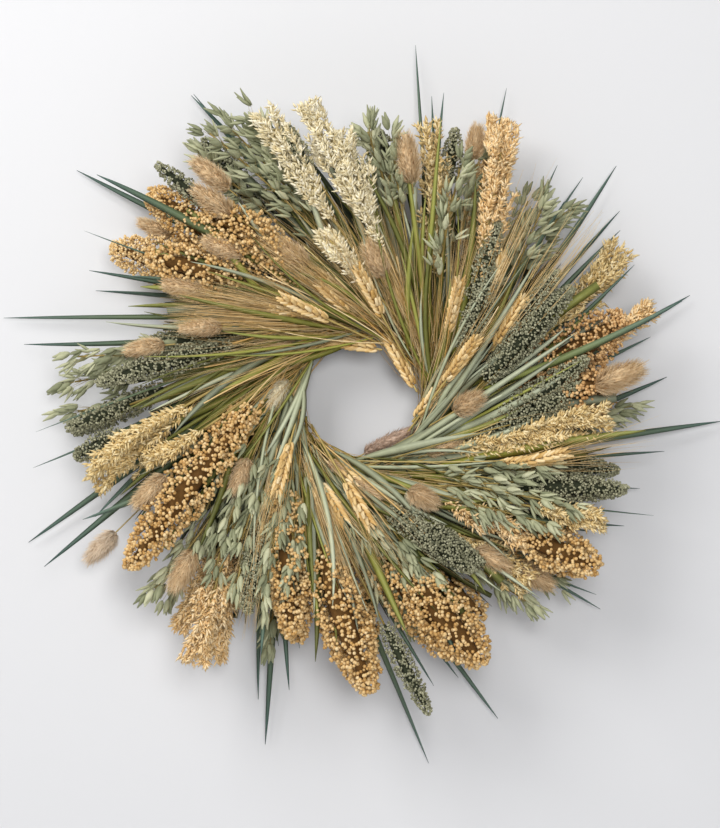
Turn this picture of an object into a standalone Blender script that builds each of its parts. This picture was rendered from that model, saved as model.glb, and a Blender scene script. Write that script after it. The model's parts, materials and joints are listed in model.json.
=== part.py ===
"""Harvest door wreath: dried grain stalks laid tangentially on a dished wire frame and bound with wire.

Metres, +Z up. The wreath hangs in the XZ plane, its front faces -Y and the door is on its +Y side.
The origin is the hook seat: the underside of the hanger loop, where a door hook carries the wreath.
Each stalk is a straight ray that leaves a common binding circle at a tangent. Rays of one circle and
one turning sense never cross, so stalks only have to be kept apart by their heads: neighbours by the
angle between them, and the layers by tilting each one further towards the front.
"""

import math

import bpy
from mathutils import Matrix, Vector

MM = 0.001

# ---- driving sizes, in millimetres ----
FRAME_RADIUS = 101.0  # of the outer ring
RING_SHARES = {"inner": 0.693, "mid_inner": 0.797, "mid_outer": 0.896, "outer": 1.0}
RING_WIRE = 3.0
DISH_RISE = 4.0  # how far the two middle rings stand in front of the inner and outer rings
RING_SEGMENTS = 40
CROSS_WIRE = 2.5
CROSS_COUNT = 5
CROSS_FIRST_DEG = 18.0
CROSS_OVERHANG = 3.5

WREATH_REACH = 366.0  # from the centre to the furthest tip
BINDING_SHARE = 0.792  # of the frame: the circle that the stalks of the layers leave at a tangent
COLLAR_SHARE = 0.5644  # of the frame: the smaller circle of the short heads tucked in round the hole
STEM_TAIL = 4.0  # how far a stem's cut end reaches back past its tangent point
STEM_DIAMETER = 3.0
SIDES = 7

WINDING_WIRE = 1.2
WINDING_PAST_CROSS = 3.0  # how far its legs pass outside the ends of the cross wires
WINDING_CLEAR = 1.6
WINDING_CORNER = 4.0
WINDING_ROOM = 8.0  # narrowest room beside a stem, along the outer legs' circle, that a turn uses

HANGER_WIRE = 2.0
HANGER_WIDTH = 25.0
HANGER_HEIGHT = 36.0
HANGER_LEAN_DEG = 9.0
HANGER_EYE_SLACK = 1.4  # the eye's bore is this much wider than the ring's wire
HANGER_KEEP_CLEAR_DEG = 15.0
EYE_FIRST_DEG = -150.0  # the open end of an eye, round its axis from straight below
EYE_STEP_DEG = 25.0
EYE_STEPS = 13
ARCH_STEPS = 12

TOUCH = 0.35  # gap left between pieces that rest on each other
LAYER_GAP = 3.4  # room between one layer's stems and the next one's at the binding circle
HEAD_SHOULDER = 1.0  # the outline ends this far short of the tip, which closes it

# ---- heads: greatest diameter, and the outline as (share of the length, share of the radius) ----
HEADS = {
    "sorghum_stalk": (43.0, ((0.0, 0.22), (0.14, 0.62), (0.38, 0.96), (0.62, 1.0), (0.84, 0.72), (1.0, 0.2))),
    "broom_millet": (29.0, ((0.0, 0.2), (0.2, 0.62), (0.5, 1.0), (0.78, 0.74), (1.0, 0.14))),
    "green_millet": (21.0, ((0.0, 0.45), (0.12, 0.9), (0.45, 1.0), (0.8, 0.78), (1.0, 0.2))),
    "oat_stalk": (30.0, ((0.0, 0.15), (0.25, 0.7), (0.55, 1.0), (0.85, 0.55), (1.0, 0.1))),
    "bunny_tail": (19.0, ((0.0, 0.4), (0.15, 0.88), (0.45, 1.0), (0.8, 0.7), (1.0, 0.2))),
    "wheat_stalk": (11.0, ((0.0, 0.4), (0.1, 0.95), (0.36, 1.0), (0.5, 0.5), (1.0, 0.12))),
}
BLADE_WIDTH = 8.0
BLADE_THICKNESS = 1.2
BLADE_OUTLINE = ((0.0, 0.3), (0.14, 0.4), (0.4, 1.0), (0.62, 0.9), (0.85, 0.45), (1.0, 0.06))

LAYER_RUN = 200.0  # distance along a stalk at which the big heads are widest
LAYER_ROOM = 0.54  # depth room from one layer to the next there, as a share of the widest head
WALL_LEAN_DEG = -2.5  # the long blades lean back a little, towards the door

# ---- the planting plan: (kind, bearing of the tip, distance of the tip from the centre, head length) ----
# Bearings are in degrees, counter-clockwise from +X as seen from the front. Lengths are in millimetres.
BLADE_TIPS = (
    (17, 338), (42, 339), (81, 352), (119, 342), (141, 360), (167, 362),
    (203, 358), (254, 354), (280, 366), (318, 312), (356, 356),
)
BLADES = tuple(("grass_blade", bearing, reach, 0) for bearing, reach in BLADE_TIPS)
BACK_LAYER = (
    ("sorghum_stalk", 4, 250, 90), ("broom_millet", 30, 300, 110), ("broom_millet", 63, 309, 170),
    ("green_millet", 88, 266, 100), ("green_millet", 123, 300, 100), ("sorghum_stalk", 150, 290, 165),
    ("green_millet", 187, 290, 100), ("broom_millet", 240, 300, 125), ("sorghum_stalk", 271, 280, 145),
    ("sorghum_stalk", 325, 276, 90),
)
MIDDLE_LAYER = (
    ("sorghum_stalk", 18, 268, 115), ("oat_stalk", 50, 258, 120), ("broom_millet", 77, 275, 165),
    ("oat_stalk", 112, 298, 110), ("sorghum_stalk", 137, 288, 160), ("oat_stalk", 172, 288, 120),
    ("broom_millet", 198, 276, 108), ("oat_stalk", 226, 276, 120), ("sorghum_stalk", 256, 246, 140),
    ("sorghum_stalk", 294, 276, 124), ("green_millet", 340, 270, 110), ("broom_millet", 312, 246, 110),
)
FRONT_LAYER = (
    ("green_millet", 33, 226, 118), ("green_millet", 52, 216, 118), ("broom_millet", 101, 286, 180),
    ("bunny_tail", 129, 262, 48), ("green_millet", 177, 256, 140), ("sorghum_stalk", 217, 276, 178),
    ("green_millet", 242, 236, 98), ("green_millet", 306, 200, 110),
    ("broom_millet", 356, 238, 118),
)
COLLAR = (
    ("wheat_stalk", 38, 205, 150), ("wheat_stalk", 103, 205, 150), ("wheat_stalk", 140, 205, 150),
    ("wheat_stalk", 239, 205, 150), ("wheat_stalk", 285, 205, 150),
    ("bunny_tail", 1, 118, 34), ("bunny_tail", 305, 128, 34),
)

PLAN_REACH = 366.0  # the furthest tip in the plan
PLAN_FRAME = 101.0  # the outer ring that the plan is drawn for
PLAN_LEG = 107.5  # and the circle of the winding's outer legs round it

# ---- sizes worked out from them ----
RING_RADII = {name: share * FRAME_RADIUS for name, share in RING_SHARES.items()}
BINDING_RADIUS = BINDING_SHARE * FRAME_RADIUS
COLLAR_RADIUS = COLLAR_SHARE * FRAME_RADIUS
WINDING_OUTER = RING_RADII["outer"] + CROSS_OVERHANG + WINDING_PAST_CROSS
WINDING_INNER = RING_RADII["inner"] - CROSS_OVERHANG - WINDING_PAST_CROSS
LAYER_LIFT = STEM_DIAMETER + LAYER_GAP
HANGER_EYE_BORE = RING_WIRE + HANGER_EYE_SLACK


def run_between(circle, radius):
    """Length of a tangent from its circle out to a larger radius."""
    return math.sqrt(radius**2 - circle**2)


LEG_RUN = run_between(BINDING_RADIUS, WINDING_OUTER)
PLAN_BINDING = BINDING_SHARE * PLAN_FRAME
PLAN_RUN = run_between(PLAN_BINDING, PLAN_REACH) - run_between(PLAN_BINDING, PLAN_LEG)
SPREAD = (run_between(BINDING_RADIUS, WREATH_REACH) - LEG_RUN) / PLAN_RUN  # of all that stands outside the winding
WIDEST_HEAD = max(width for width, _ in HEADS.values())
LAYER_ANGLE = math.asin(LAYER_ROOM * WIDEST_HEAD / LAYER_RUN)
DISH_FRONT = DISH_RISE + RING_WIRE / 2
BLADE_OVER_RING = math.sqrt((RING_RADII["mid_outer"] + RING_WIRE + BLADE_WIDTH) ** 2 - BINDING_RADIUS**2)
BLADE_SINK = BLADE_OVER_RING * math.tan(math.radians(-WALL_LEAN_DEG))  # where it leaves the dished rings
BLADE_DEPTH = DISH_FRONT + TOUCH + BLADE_THICKNESS / 2 + BLADE_SINK
BACK_DEPTH = BLADE_DEPTH + BLADE_THICKNESS / 2 + TOUCH + STEM_DIAMETER / 2
HINGE_DROP = RING_RADII["outer"] - math.sqrt(RING_RADII["outer"] ** 2 - (HANGER_WIDTH / 2) ** 2)
HINGE_HEIGHT = RING_RADII["outer"] - HINGE_DROP  # above the wreath's centre, at the hanger's two eyes
SEAT_RUN = HANGER_HEIGHT - HANGER_WIRE / 2  # from the hinge to the underside of the loop's top
LEAN = math.radians(HANGER_LEAN_DEG)
CENTRE = Vector((0, -SEAT_RUN * math.sin(LEAN), -HINGE_HEIGHT - SEAT_RUN * math.cos(LEAN)))

COLOURS = {
    "frame_wire": ((0.05, 0.09, 0.05), 0.45, 0.6),
    "winding_wire": ((0.06, 0.13, 0.07), 0.4, 0.6),
    "hanger_wire": ((0.55, 0.56, 0.57), 0.35, 1.0),
    "sorghum_stalk": ((0.58, 0.36, 0.15), 0.75, 0.0),
    "broom_millet": ((0.74, 0.62, 0.36), 0.8, 0.0),
    "green_millet": ((0.23, 0.25, 0.17), 0.85, 0.0),
    "oat_stalk": ((0.42, 0.47, 0.33), 0.75, 0.0),
    "bunny_tail": ((0.53, 0.4, 0.27), 0.95, 0.0),
    "wheat_stalk": ((0.62, 0.43, 0.2), 0.7, 0.0),
    "grass_blade": ((0.11, 0.17, 0.11), 0.6, 0.0),
}


def clear_scene():
    for obj in list(bpy.data.objects):
        bpy.data.objects.remove(obj, do_unlink=True)


def new_collection(name):
    collection = bpy.data.collections.new(name)
    bpy.context.scene.collection.children.link(collection)
    return collection


def new_material(name, colour_key):
    colour, roughness, metallic = COLOURS[colour_key]
    material = bpy.data.materials.new(name)
    material.use_nodes = True
    shader = material.node_tree.nodes["Principled BSDF"]
    shader.inputs["Base Color"].default_value = (*colour, 1.0)
    shader.inputs["Roughness"].default_value = roughness
    shader.inputs["Metallic"].default_value = metallic
    material.diffuse_color = (*colour, 1.0)
    return material


def add_object(name, data, colour_key):
    obj = bpy.data.objects.new(name, data)
    data.materials.append(new_material(name, colour_key))
    WREATH.objects.link(obj)
    return obj


def on_ring(radius, bearing, depth):
    """A point in the wreath's own millimetres, seen from the front: depth is towards the viewer."""
    point = Vector((radius * math.cos(bearing), -depth, radius * math.sin(bearing)))
    return point * MM + CENTRE * MM


def wire(name, points, diameter, colour_key, closed=False):
    """A wire through the points, as a curve with eight sides."""
    data = bpy.data.curves.new(name, "CURVE")
    data.dimensions = "3D"
    data.bevel_depth = diameter * MM / 2
    data.bevel_resolution = 2
    data.use_fill_caps = not closed
    spline = data.splines.new("POLY")
    spline.points.add(len(points) - 1)
    for point, place in zip(spline.points, points):
        point.co = (*place, 1.0)
    spline.use_cyclic_u = closed
    return add_object(name, data, colour_key)


# ---- the dished frame: four rings and the cross wires welded behind them ----
def ring_depth(name):
    return DISH_RISE if name.startswith("mid") else 0.0


def add_ring(name):
    bpy.ops.mesh.primitive_torus_add(
        major_radius=RING_RADII[name] * MM,
        minor_radius=RING_WIRE * MM / 2,
        major_segments=RING_SEGMENTS,
        minor_segments=8,
        location=on_ring(0, 0, ring_depth(name)),
        rotation=(math.pi / 2, 0, 0),
    )
    ring = bpy.context.object
    ring.name = f"ring_{name}"
    ring.data.shade_smooth()
    ring.data.materials.append(new_material(ring.name, "frame_wire"))
    for collection in list(ring.users_collection):
        collection.objects.unlink(ring)
    WREATH.objects.link(ring)


def add_cross_wire(number):
    bearing = math.radians(CROSS_FIRST_DEG + 360 / CROSS_COUNT * number)
    behind = (RING_WIRE + CROSS_WIRE) / 2 + TOUCH
    bend = (RING_RADII["outer"] - RING_RADII["mid_outer"]) / 2
    stations = (
        (RING_RADII["outer"] + CROSS_OVERHANG, -behind),
        (RING_RADII["outer"] - RING_WIRE / 2, -behind),
        (RING_RADII["mid_outer"] + bend - RING_WIRE, DISH_RISE - behind),
        (RING_RADII["mid_inner"] - bend + RING_WIRE, DISH_RISE - behind),
        (RING_RADII["inner"] + RING_WIRE / 2, -behind),
        (RING_RADII["inner"] - CROSS_OVERHANG, -behind),
    )
    points = [on_ring(radius, bearing, depth) for radius, depth in stations]
    wire(f"cross_wire_{number + 1}", points, CROSS_WIRE, "frame_wire")


# ---- stalks ----
class Ray:
    """The straight line of one stalk: it leaves the circle at a tangent and tilts towards the front."""

    def __init__(self, tip_bearing, tip_reach, circle, depth, tilt):
        self.circle = circle
        self.depth = depth
        self.tilt = tilt
        self.run = math.sqrt(tip_reach**2 - circle**2)
        self.base = math.radians(tip_bearing) - math.acos(circle / tip_reach)

    def exit_bearing(self, radius):
        return self.base + math.acos(self.circle / radius)

    def matrix(self):
        """Turns a shape made along +Z, its front towards -Y, into the stalk's place."""
        outwards = Vector((math.cos(self.base), 0, math.sin(self.base)))
        along = Vector((-math.sin(self.base), 0, math.cos(self.base)))
        forward = Vector((0, -1, 0))
        axis = along * math.cos(self.tilt) + forward * math.sin(self.tilt)
        face = forward * math.cos(self.tilt) - along * math.sin(self.tilt)
        place = Matrix((outwards, -face, axis)).transposed().to_4x4()
        return Matrix.Translation(on_ring(self.circle, self.base, self.depth)) @ place

    def length(self):
        return self.run / math.cos(self.tilt)


def turned(name, profile, colour_key, ray):
    """A profile of (radius, height) from the tip down to the cut end, turned round the stalk's axis."""
    mesh = bpy.data.meshes.new(name)
    points = [(radius * MM, 0, height * MM) for radius, height in profile]
    mesh.from_pydata(points, [(i, i + 1) for i in range(len(points) - 1)], [])
    stalk = add_object(name, mesh, colour_key)
    screw = stalk.modifiers.new("Screw", "SCREW")
    screw.axis = "Z"
    screw.steps = SIDES
    screw.render_steps = SIDES
    screw.use_merge_vertices = True
    screw.merge_threshold = 1e-6
    stalk.matrix_world = ray.matrix()


def add_stalk(kind, name, ray, head_length):
    width, outline = HEADS[kind]
    width *= SPREAD
    length = ray.length()
    foot = length - head_length
    profile = [(0, length)]
    for share, radius in reversed(outline):
        profile.append((radius * width / 2, foot + share * (head_length - HEAD_SHOULDER)))
    stem = STEM_DIAMETER / 2
    profile += [(stem, foot - STEM_DIAMETER), (stem, -STEM_TAIL), (0, -STEM_TAIL)]
    turned(name, profile, kind, ray)


def add_blade(name, ray):
    """A long flat leaf: an outline with a rounded point, as thick as the leaf."""
    data = bpy.data.curves.new(name, "CURVE")
    data.dimensions = "2D"
    data.fill_mode = "BOTH"
    data.extrude = BLADE_THICKNESS * MM / 2
    length = ray.length() + STEM_TAIL
    sides = [(share * length - STEM_TAIL, half * BLADE_WIDTH / 2) for share, half in BLADE_OUTLINE]
    outline = [(half, along) for along, half in sides] + [(-half, along) for along, half in reversed(sides)]
    spline = data.splines.new("POLY")
    spline.points.add(len(outline) - 1)
    for point, (across, along) in zip(spline.points, outline):
        point.co = (across * MM, along * MM, 0, 1.0)
    spline.use_cyclic_u = True
    blade = add_object(name, data, "grass_blade")
    blade.matrix_world = ray.matrix() @ Matrix.Rotation(math.pi / 2, 4, "X")


def tip_distance(plan_reach, circle):
    """The plan's distance, with the part of the stalk that is outside the winding stretched by SPREAD."""
    plan_circle = circle * PLAN_FRAME / FRAME_RADIUS
    outside = run_between(plan_circle, plan_reach) - run_between(plan_circle, PLAN_LEG)
    return math.hypot(circle, run_between(circle, WINDING_OUTER) + outside * SPREAD)


def layer_rays(layer, circle, number):
    """The rays of one layer. Layer 0 is the blades' and each later one lies further forward."""
    tilt = math.radians(WALL_LEAN_DEG) + LAYER_ANGLE * number
    depth = BLADE_DEPTH if number == 0 else BACK_DEPTH + LAYER_LIFT * (number - 1)
    return [Ray(bearing, tip_distance(reach, circle), circle, depth, tilt) for _, bearing, reach, _ in layer]


def add_layer(layer, rays, counts):
    for (kind, _, _, head_length), ray in zip(layer, rays):
        counts[kind] = counts.get(kind, 0) + 1
        add_stalk(kind, f"{kind}_{counts[kind]:02d}", ray, head_length * SPREAD)


# ---- the winding: one wire round frame and stems, its outer legs in the gaps between stems ----
def widest_gaps(rays, radius):
    """Bearings midway between stems that leave the given circle far enough apart for a turn."""
    bearings = sorted(ray.exit_bearing(radius) % math.tau for ray in rays)
    found = []
    for here, after in zip(bearings, bearings[1:] + [bearings[0] + math.tau]):
        middle = (here + after) / 2
        from_top = abs((math.degrees(middle) - 90 + 180) % 360 - 180)
        if (after - here) * radius > STEM_DIAMETER + WINDING_ROOM and from_top > HANGER_KEEP_CLEAR_DEG:
            found.append(middle)
    return found


def add_winding(rays):
    front_ray = max(rays, key=lambda ray: ray.depth)
    proud = STEM_DIAMETER / 2 + WINDING_CLEAR + WINDING_WIRE / 2
    front_inner = front_ray.depth + proud
    front_outer = front_inner + LEG_RUN * math.tan(front_ray.tilt)
    back = -(RING_WIRE / 2 + 2 * TOUCH + CROSS_WIRE + WINDING_WIRE / 2)
    loop = (
        (WINDING_INNER + WINDING_WIRE, back), (WINDING_INNER, back + WINDING_WIRE),
        (WINDING_INNER, front_inner - WINDING_CORNER),
        (WINDING_INNER + WINDING_CORNER, front_inner), (WINDING_OUTER - WINDING_CORNER, front_outer),
        (WINDING_OUTER, front_outer - WINDING_CORNER), (WINDING_OUTER, back + WINDING_WIRE),
        (WINDING_OUTER - WINDING_WIRE, back),
    )
    points = []
    for bearing in widest_gaps(rays, WINDING_OUTER):
        points += [on_ring(radius, bearing, depth) for radius, depth in loop]
    wire("paddle_wire", points, WINDING_WIRE, "winding_wire")
    return len(points) // len(loop)


# ---- the hanger: one bent wire with an eye at each end, which turns on the outer ring ----
def hanger_points():
    """The wire's route in the hanger's own plane, which is XZ with the hinge axis along X."""
    half = HANGER_WIDTH / 2
    eye = (HANGER_EYE_BORE + HANGER_WIRE) / 2
    eye_turn = [math.radians(EYE_FIRST_DEG + EYE_STEP_DEG * step) for step in range(EYE_STEPS)]
    left_eye = [(-half, -eye * math.sin(turn), -eye * math.cos(turn)) for turn in eye_turn]
    arch = [math.pi * (1 - step / ARCH_STEPS) for step in range(ARCH_STEPS + 1)]
    rise = HANGER_HEIGHT - half
    loop = [(half * math.cos(turn), 0, rise + half * math.sin(turn)) for turn in arch]
    right_eye = [(half, y, z) for _, y, z in reversed(left_eye)]
    return left_eye, loop, right_eye


def add_hanger():
    pivot = bpy.data.objects.new("hanger_pivot", None)
    pivot.empty_display_size = 0.01
    pivot.location = on_ring(HINGE_HEIGHT, math.pi / 2, 0)
    pivot.rotation_euler = (-LEAN, 0, 0)
    WREATH.objects.link(pivot)
    left_eye, loop, right_eye = hanger_points()
    points = [Vector(point) * MM for point in left_eye + loop + right_eye]
    hanger = wire("hanger_loop", points, HANGER_WIRE, "hanger_wire")
    hanger.parent = pivot


clear_scene()
WREATH = new_collection("harvest_door_wreath")
for ring_name in RING_RADII:
    add_ring(ring_name)
for cross_number in range(CROSS_COUNT):
    add_cross_wire(cross_number)

blade_rays = layer_rays(BLADES, BINDING_RADIUS, 0)
for blade_number, blade_ray in enumerate(blade_rays, 1):
    add_blade(f"grass_blade_{blade_number:02d}", blade_ray)

kind_counts = {}
bound_rays = list(blade_rays)
for layer_number, planting in enumerate((BACK_LAYER, MIDDLE_LAYER, FRONT_LAYER), 1):
    planted = layer_rays(planting, BINDING_RADIUS, layer_number)
    add_layer(planting, planted, kind_counts)
    bound_rays += planted
turns = add_winding(bound_rays)
collar_rays = layer_rays(COLLAR, COLLAR_RADIUS, 4)
add_layer(COLLAR, collar_rays, kind_counts)
add_hanger()
print("turns of the winding:", turns)
print("centre of the rings:", tuple(round(value, 2) for value in CENTRE))
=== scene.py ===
# %% [markdown]
# # A harvest door wreath
# The real wreath is a dished wire ring on which dried stalks are laid at a slant, one over the next,
# and tied down with thin wire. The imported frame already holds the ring, the wire, the hanger and
# 49 straight stalks of the right length in the right place. Here each stalk is dressed as the plant
# it stands for, and the loose filling between them is added. Everything is in metres, +Z is up and
# the front faces -Y.

# %% Load the frame
import json
import math

import bpy
import numpy as np
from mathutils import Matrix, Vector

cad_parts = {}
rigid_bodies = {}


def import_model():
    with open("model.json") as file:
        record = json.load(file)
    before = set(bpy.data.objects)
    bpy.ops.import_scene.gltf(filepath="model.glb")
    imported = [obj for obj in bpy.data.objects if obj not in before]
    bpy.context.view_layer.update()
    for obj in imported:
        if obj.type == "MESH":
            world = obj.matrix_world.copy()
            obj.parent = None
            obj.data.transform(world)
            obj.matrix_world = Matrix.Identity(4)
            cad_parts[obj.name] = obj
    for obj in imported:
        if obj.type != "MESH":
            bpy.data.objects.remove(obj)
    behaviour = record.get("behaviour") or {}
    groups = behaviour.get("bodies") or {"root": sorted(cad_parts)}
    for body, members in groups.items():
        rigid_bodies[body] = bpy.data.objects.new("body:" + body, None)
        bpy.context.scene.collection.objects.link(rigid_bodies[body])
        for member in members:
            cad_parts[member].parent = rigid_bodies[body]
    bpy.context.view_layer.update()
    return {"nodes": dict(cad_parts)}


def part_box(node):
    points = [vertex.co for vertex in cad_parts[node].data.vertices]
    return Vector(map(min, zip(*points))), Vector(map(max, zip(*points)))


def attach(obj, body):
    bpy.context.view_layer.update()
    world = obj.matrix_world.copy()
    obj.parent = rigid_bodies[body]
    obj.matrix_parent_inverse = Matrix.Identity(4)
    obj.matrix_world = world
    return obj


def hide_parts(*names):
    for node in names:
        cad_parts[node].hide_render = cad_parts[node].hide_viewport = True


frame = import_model()
MM = 0.001
ring_low, ring_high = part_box("ring_outer")
CENTRE = (np.array(ring_low) + np.array(ring_high)) / 2
print("ring centre", CENTRE.round(4), "nodes", len(frame["nodes"]))

# %% [markdown]
# ## Colour and nodes
# Every finish below starts from sRGB hex values, as a paint chart gives them, while shader sockets want
# linear light. Node trees could be clicked together by hand or built by one function for each kind of
# node. One function that adds any node with its settings and links keeps each finish short to read.

# %% Colour from sRGB hex
def srgb(code):
    """A linear colour from an sRGB hex code."""
    channels = [int(code[i:i + 2], 16) / 255 for i in (1, 3, 5)]
    return (*[c / 12.92 if c <= 0.04045 else ((c + 0.055) / 1.055) ** 2.4 for c in channels], 1.0)


# %% A node with its settings and links
def add_node(tree, kind, settings=(), links=()):
    """Adds a node, sets (name, value) pairs on it or on its inputs, and links (input, socket) pairs."""
    made = tree.nodes.new(kind)
    for name, value in settings:
        if isinstance(name, str) and hasattr(made, name):
            setattr(made, name, value)
        else:
            made.inputs[name].default_value = value
    for name, socket in links:
        tree.links.new(socket, made.inputs[name])
    return made


# %% The start and the end of every finish
def blank_material(name):
    """A material and its empty node tree."""
    material = bpy.data.materials.new(name)
    material.use_nodes = True
    material.node_tree.nodes.clear()
    return material, material.node_tree


def close_finish(tree, colour, height, strength, relief_mm, settings):
    """The relief, the shader with these settings, and the output."""
    bump = add_node(tree, "ShaderNodeBump", [("Strength", strength), ("Distance", relief_mm / 1000)],
                    [("Height", height)])
    shader = add_node(tree, "ShaderNodeBsdfPrincipled", settings,
                      [("Base Color", colour), ("Normal", bump.outputs["Normal"])])
    add_node(tree, "ShaderNodeOutputMaterial", [], [("Surface", shader.outputs[0])])


# %% [markdown]
# ## Camera
# A door wreath is looked at straight on. A close camera with a wide lens would blow up the stalks that
# lean forward, so this one stands two metres away with a long lens. The lens follows from how much of
# the wreath's plane the picture shows.

# %% Camera
CAMERA_DISTANCE = 2.0
VIEW_HEIGHT = 0.828  # how much of the wreath's plane the picture is tall
SENSOR = 36.0
AIM_RIGHT = -0.002  # the middle of the picture, from the ring's centre
AIM_UP = -0.016
FOCAL_PLANE = -0.03  # the depth at which the view height is measured

camera_data = bpy.data.cameras.new("camera")
camera_data.sensor_width = SENSOR
camera_data.lens = SENSOR * CAMERA_DISTANCE / VIEW_HEIGHT
camera = bpy.data.objects.new("camera", camera_data)
bpy.context.scene.collection.objects.link(camera)
camera.location = CENTRE + np.array([AIM_RIGHT, FOCAL_PLANE - CAMERA_DISTANCE, AIM_UP])
camera.rotation_euler = (math.pi / 2, 0, 0)
bpy.context.scene.camera = camera
bpy.context.scene.view_settings.view_transform = "Standard"
print("lens", round(camera_data.lens, 1), "mm")

# %% [markdown]
# ## Wall and floor
# The wall is rolled on matt emulsion paint: no gloss, and a very faint patchiness some 300 mm across. A
# solid wall would hide the wreath from behind, so this one is a single sheet whose back face is clear,
# and a view from behind still shows the wire ring.

# %% Painted wall and floor
WALL_GAP = 0.009  # the door's face, behind the hook seat
WALL_SIZE = 6.0
FLOOR_DROP = 1.3
PATCHES = 3.0  # patches of the paint to the metre

paint, paint_tree = blank_material("matt_wall_paint")
paint_noise = add_node(paint_tree, "ShaderNodeTexNoise", [("Scale", PATCHES), ("Detail", 2.0)])
paint_ramp = add_node(paint_tree, "ShaderNodeValToRGB", [], [("Fac", paint_noise.outputs["Fac"])])
paint_ramp.color_ramp.elements[0].color = srgb("#DBDCDF")
paint_ramp.color_ramp.elements[1].color = srgb("#DFE0E3")
paint_shader = add_node(paint_tree, "ShaderNodeBsdfPrincipled", [("Roughness", 0.9)],
                        [("Base Color", paint_ramp.outputs["Color"])])
paint_clear = add_node(paint_tree, "ShaderNodeBsdfTransparent")
paint_side = add_node(paint_tree, "ShaderNodeNewGeometry")
paint_mix = add_node(paint_tree, "ShaderNodeMixShader", [],
                     [(0, paint_side.outputs["Backfacing"]), (1, paint_shader.outputs[0]),
                      (2, paint_clear.outputs[0])])
add_node(paint_tree, "ShaderNodeOutputMaterial", [], [("Surface", paint_mix.outputs[0])])

bpy.ops.mesh.primitive_plane_add(size=WALL_SIZE, location=(0, WALL_GAP, CENTRE[2]),
                                 rotation=(math.pi / 2, 0, 0))
wall = bpy.context.object
wall.name = "wall"
wall.data.materials.append(paint)
floor_place = (0, WALL_GAP - WALL_SIZE / 2, CENTRE[2] - FLOOR_DROP)
bpy.ops.mesh.primitive_plane_add(size=WALL_SIZE, location=floor_place)
floor = bpy.context.object
floor.name = "floor"
floor.data.materials.append(paint)

# %% [markdown]
# ## Light
# One large window high on the left gives the soft shadows to the right. A single lamp would leave the
# gaps between the stalks black, so a weaker lamp near the camera and a pale room fill them.

# %% Soft light
WINDOW_PLACE = (-1.3, -1.7, 1.5)  # metres from the ring's centre
WINDOW_SIZE = 1.4
WINDOW_POWER = 47.0
FRONT_PLACE = (0.25, -2.6, 0.35)
FRONT_SIZE = 0.9
FRONT_POWER = 32.0
ROOM_STRENGTH = 0.25


def soft_light(name, place, size, power, colour):
    """A square lamp at a place given from the ring's centre, turned to face it."""
    data = bpy.data.lights.new(name, "AREA")
    data.size = size
    data.energy = power
    data.color = srgb(colour)[:3]
    lamp = bpy.data.objects.new(name, data)
    bpy.context.scene.collection.objects.link(lamp)
    lamp.location = CENTRE + np.array(place)
    across, deep, up = -np.array(place)
    tilt = math.pi / 2 + math.atan2(up, math.hypot(across, deep))
    lamp.rotation_euler = (tilt, 0, math.pi + math.atan2(across, -deep))


soft_light("window_light", WINDOW_PLACE, WINDOW_SIZE, WINDOW_POWER, "#FFFDFA")
soft_light("room_light", FRONT_PLACE, FRONT_SIZE, FRONT_POWER, "#FFFEFC")
world = bpy.data.worlds.new("pale_room")
world.use_nodes = True
room = world.node_tree.nodes["Background"]
room.inputs["Color"].default_value = srgb("#F7F7F8")
room.inputs["Strength"].default_value = ROOM_STRENGTH
bpy.context.scene.world = world

# %% [markdown]
# ## The line of a stalk
# A stalk runs from its cut end to its tip, and is never dead straight. A Blender curve with a bevel
# could draw one, but grains and hairs have to be set round it too, so a stalk is kept as a plain line
# with a small bow. It gives the place and the side, front and along directions at any share of its
# length.

# %% A bowed line with a frame along it
FORWARD = np.array([0.0, -1.0, 0.0])


def unit_rows(rows):
    """Each row at length one."""
    return rows / np.linalg.norm(rows, axis=-1, keepdims=True)


class Line:
    """A stalk's line: foot, tip, bow to the side and lift to the front, all in metres."""

    def __init__(self, foot, tip, bow=0.0, lift=0.0):
        self.foot = np.array(foot, float)
        self.tip = np.array(tip, float)
        self.span = self.tip - self.foot
        self.length = float(np.linalg.norm(self.span))
        side = unit_rows(np.cross(FORWARD, self.span))
        self.bend = side * bow + FORWARD * lift

    def at(self, share):
        """Places at these shares of the length."""
        share = np.atleast_1d(share)[:, None]
        return self.foot + self.span * share + self.bend * 4 * share * (1 - share)

    def axes(self, share, roll=0.0):
        """Side, front and along directions at each share of the length, turned by roll."""
        share = np.atleast_1d(share)[:, None]
        along = unit_rows(self.span + self.bend * 4 * (1 - 2 * share))
        side = unit_rows(np.cross(FORWARD, along))
        front = np.cross(along, side)
        roll = np.broadcast_to(np.atleast_1d(roll), (len(along),))[:, None]
        return np.stack([side * np.cos(roll) + front * np.sin(roll),
                         front * np.cos(roll) - side * np.sin(roll), along], axis=1)


# %% [markdown]
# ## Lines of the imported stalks
# The frame's stalks are already the right length and in the right place. Their numbers could be copied
# here by hand, but then a change of size would leave the plants behind. So each stalk is read back from
# its mesh: the point furthest out is the tip, the far end is the foot, and whatever stands further from
# the axis than a stem does is the head.

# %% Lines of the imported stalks
STEM_LIMIT = 0.0022  # anything further from the axis belongs to the head
FOOT_DEPTH = 0.002  # points this close to the far end belong to the cut face


def vertices_of(obj):
    """The vertices of a mesh as rows of x, y, z."""
    places = np.empty(len(obj.data.vertices) * 3)
    obj.data.vertices.foreach_get("co", places)
    return places.reshape(-1, 3)


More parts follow.
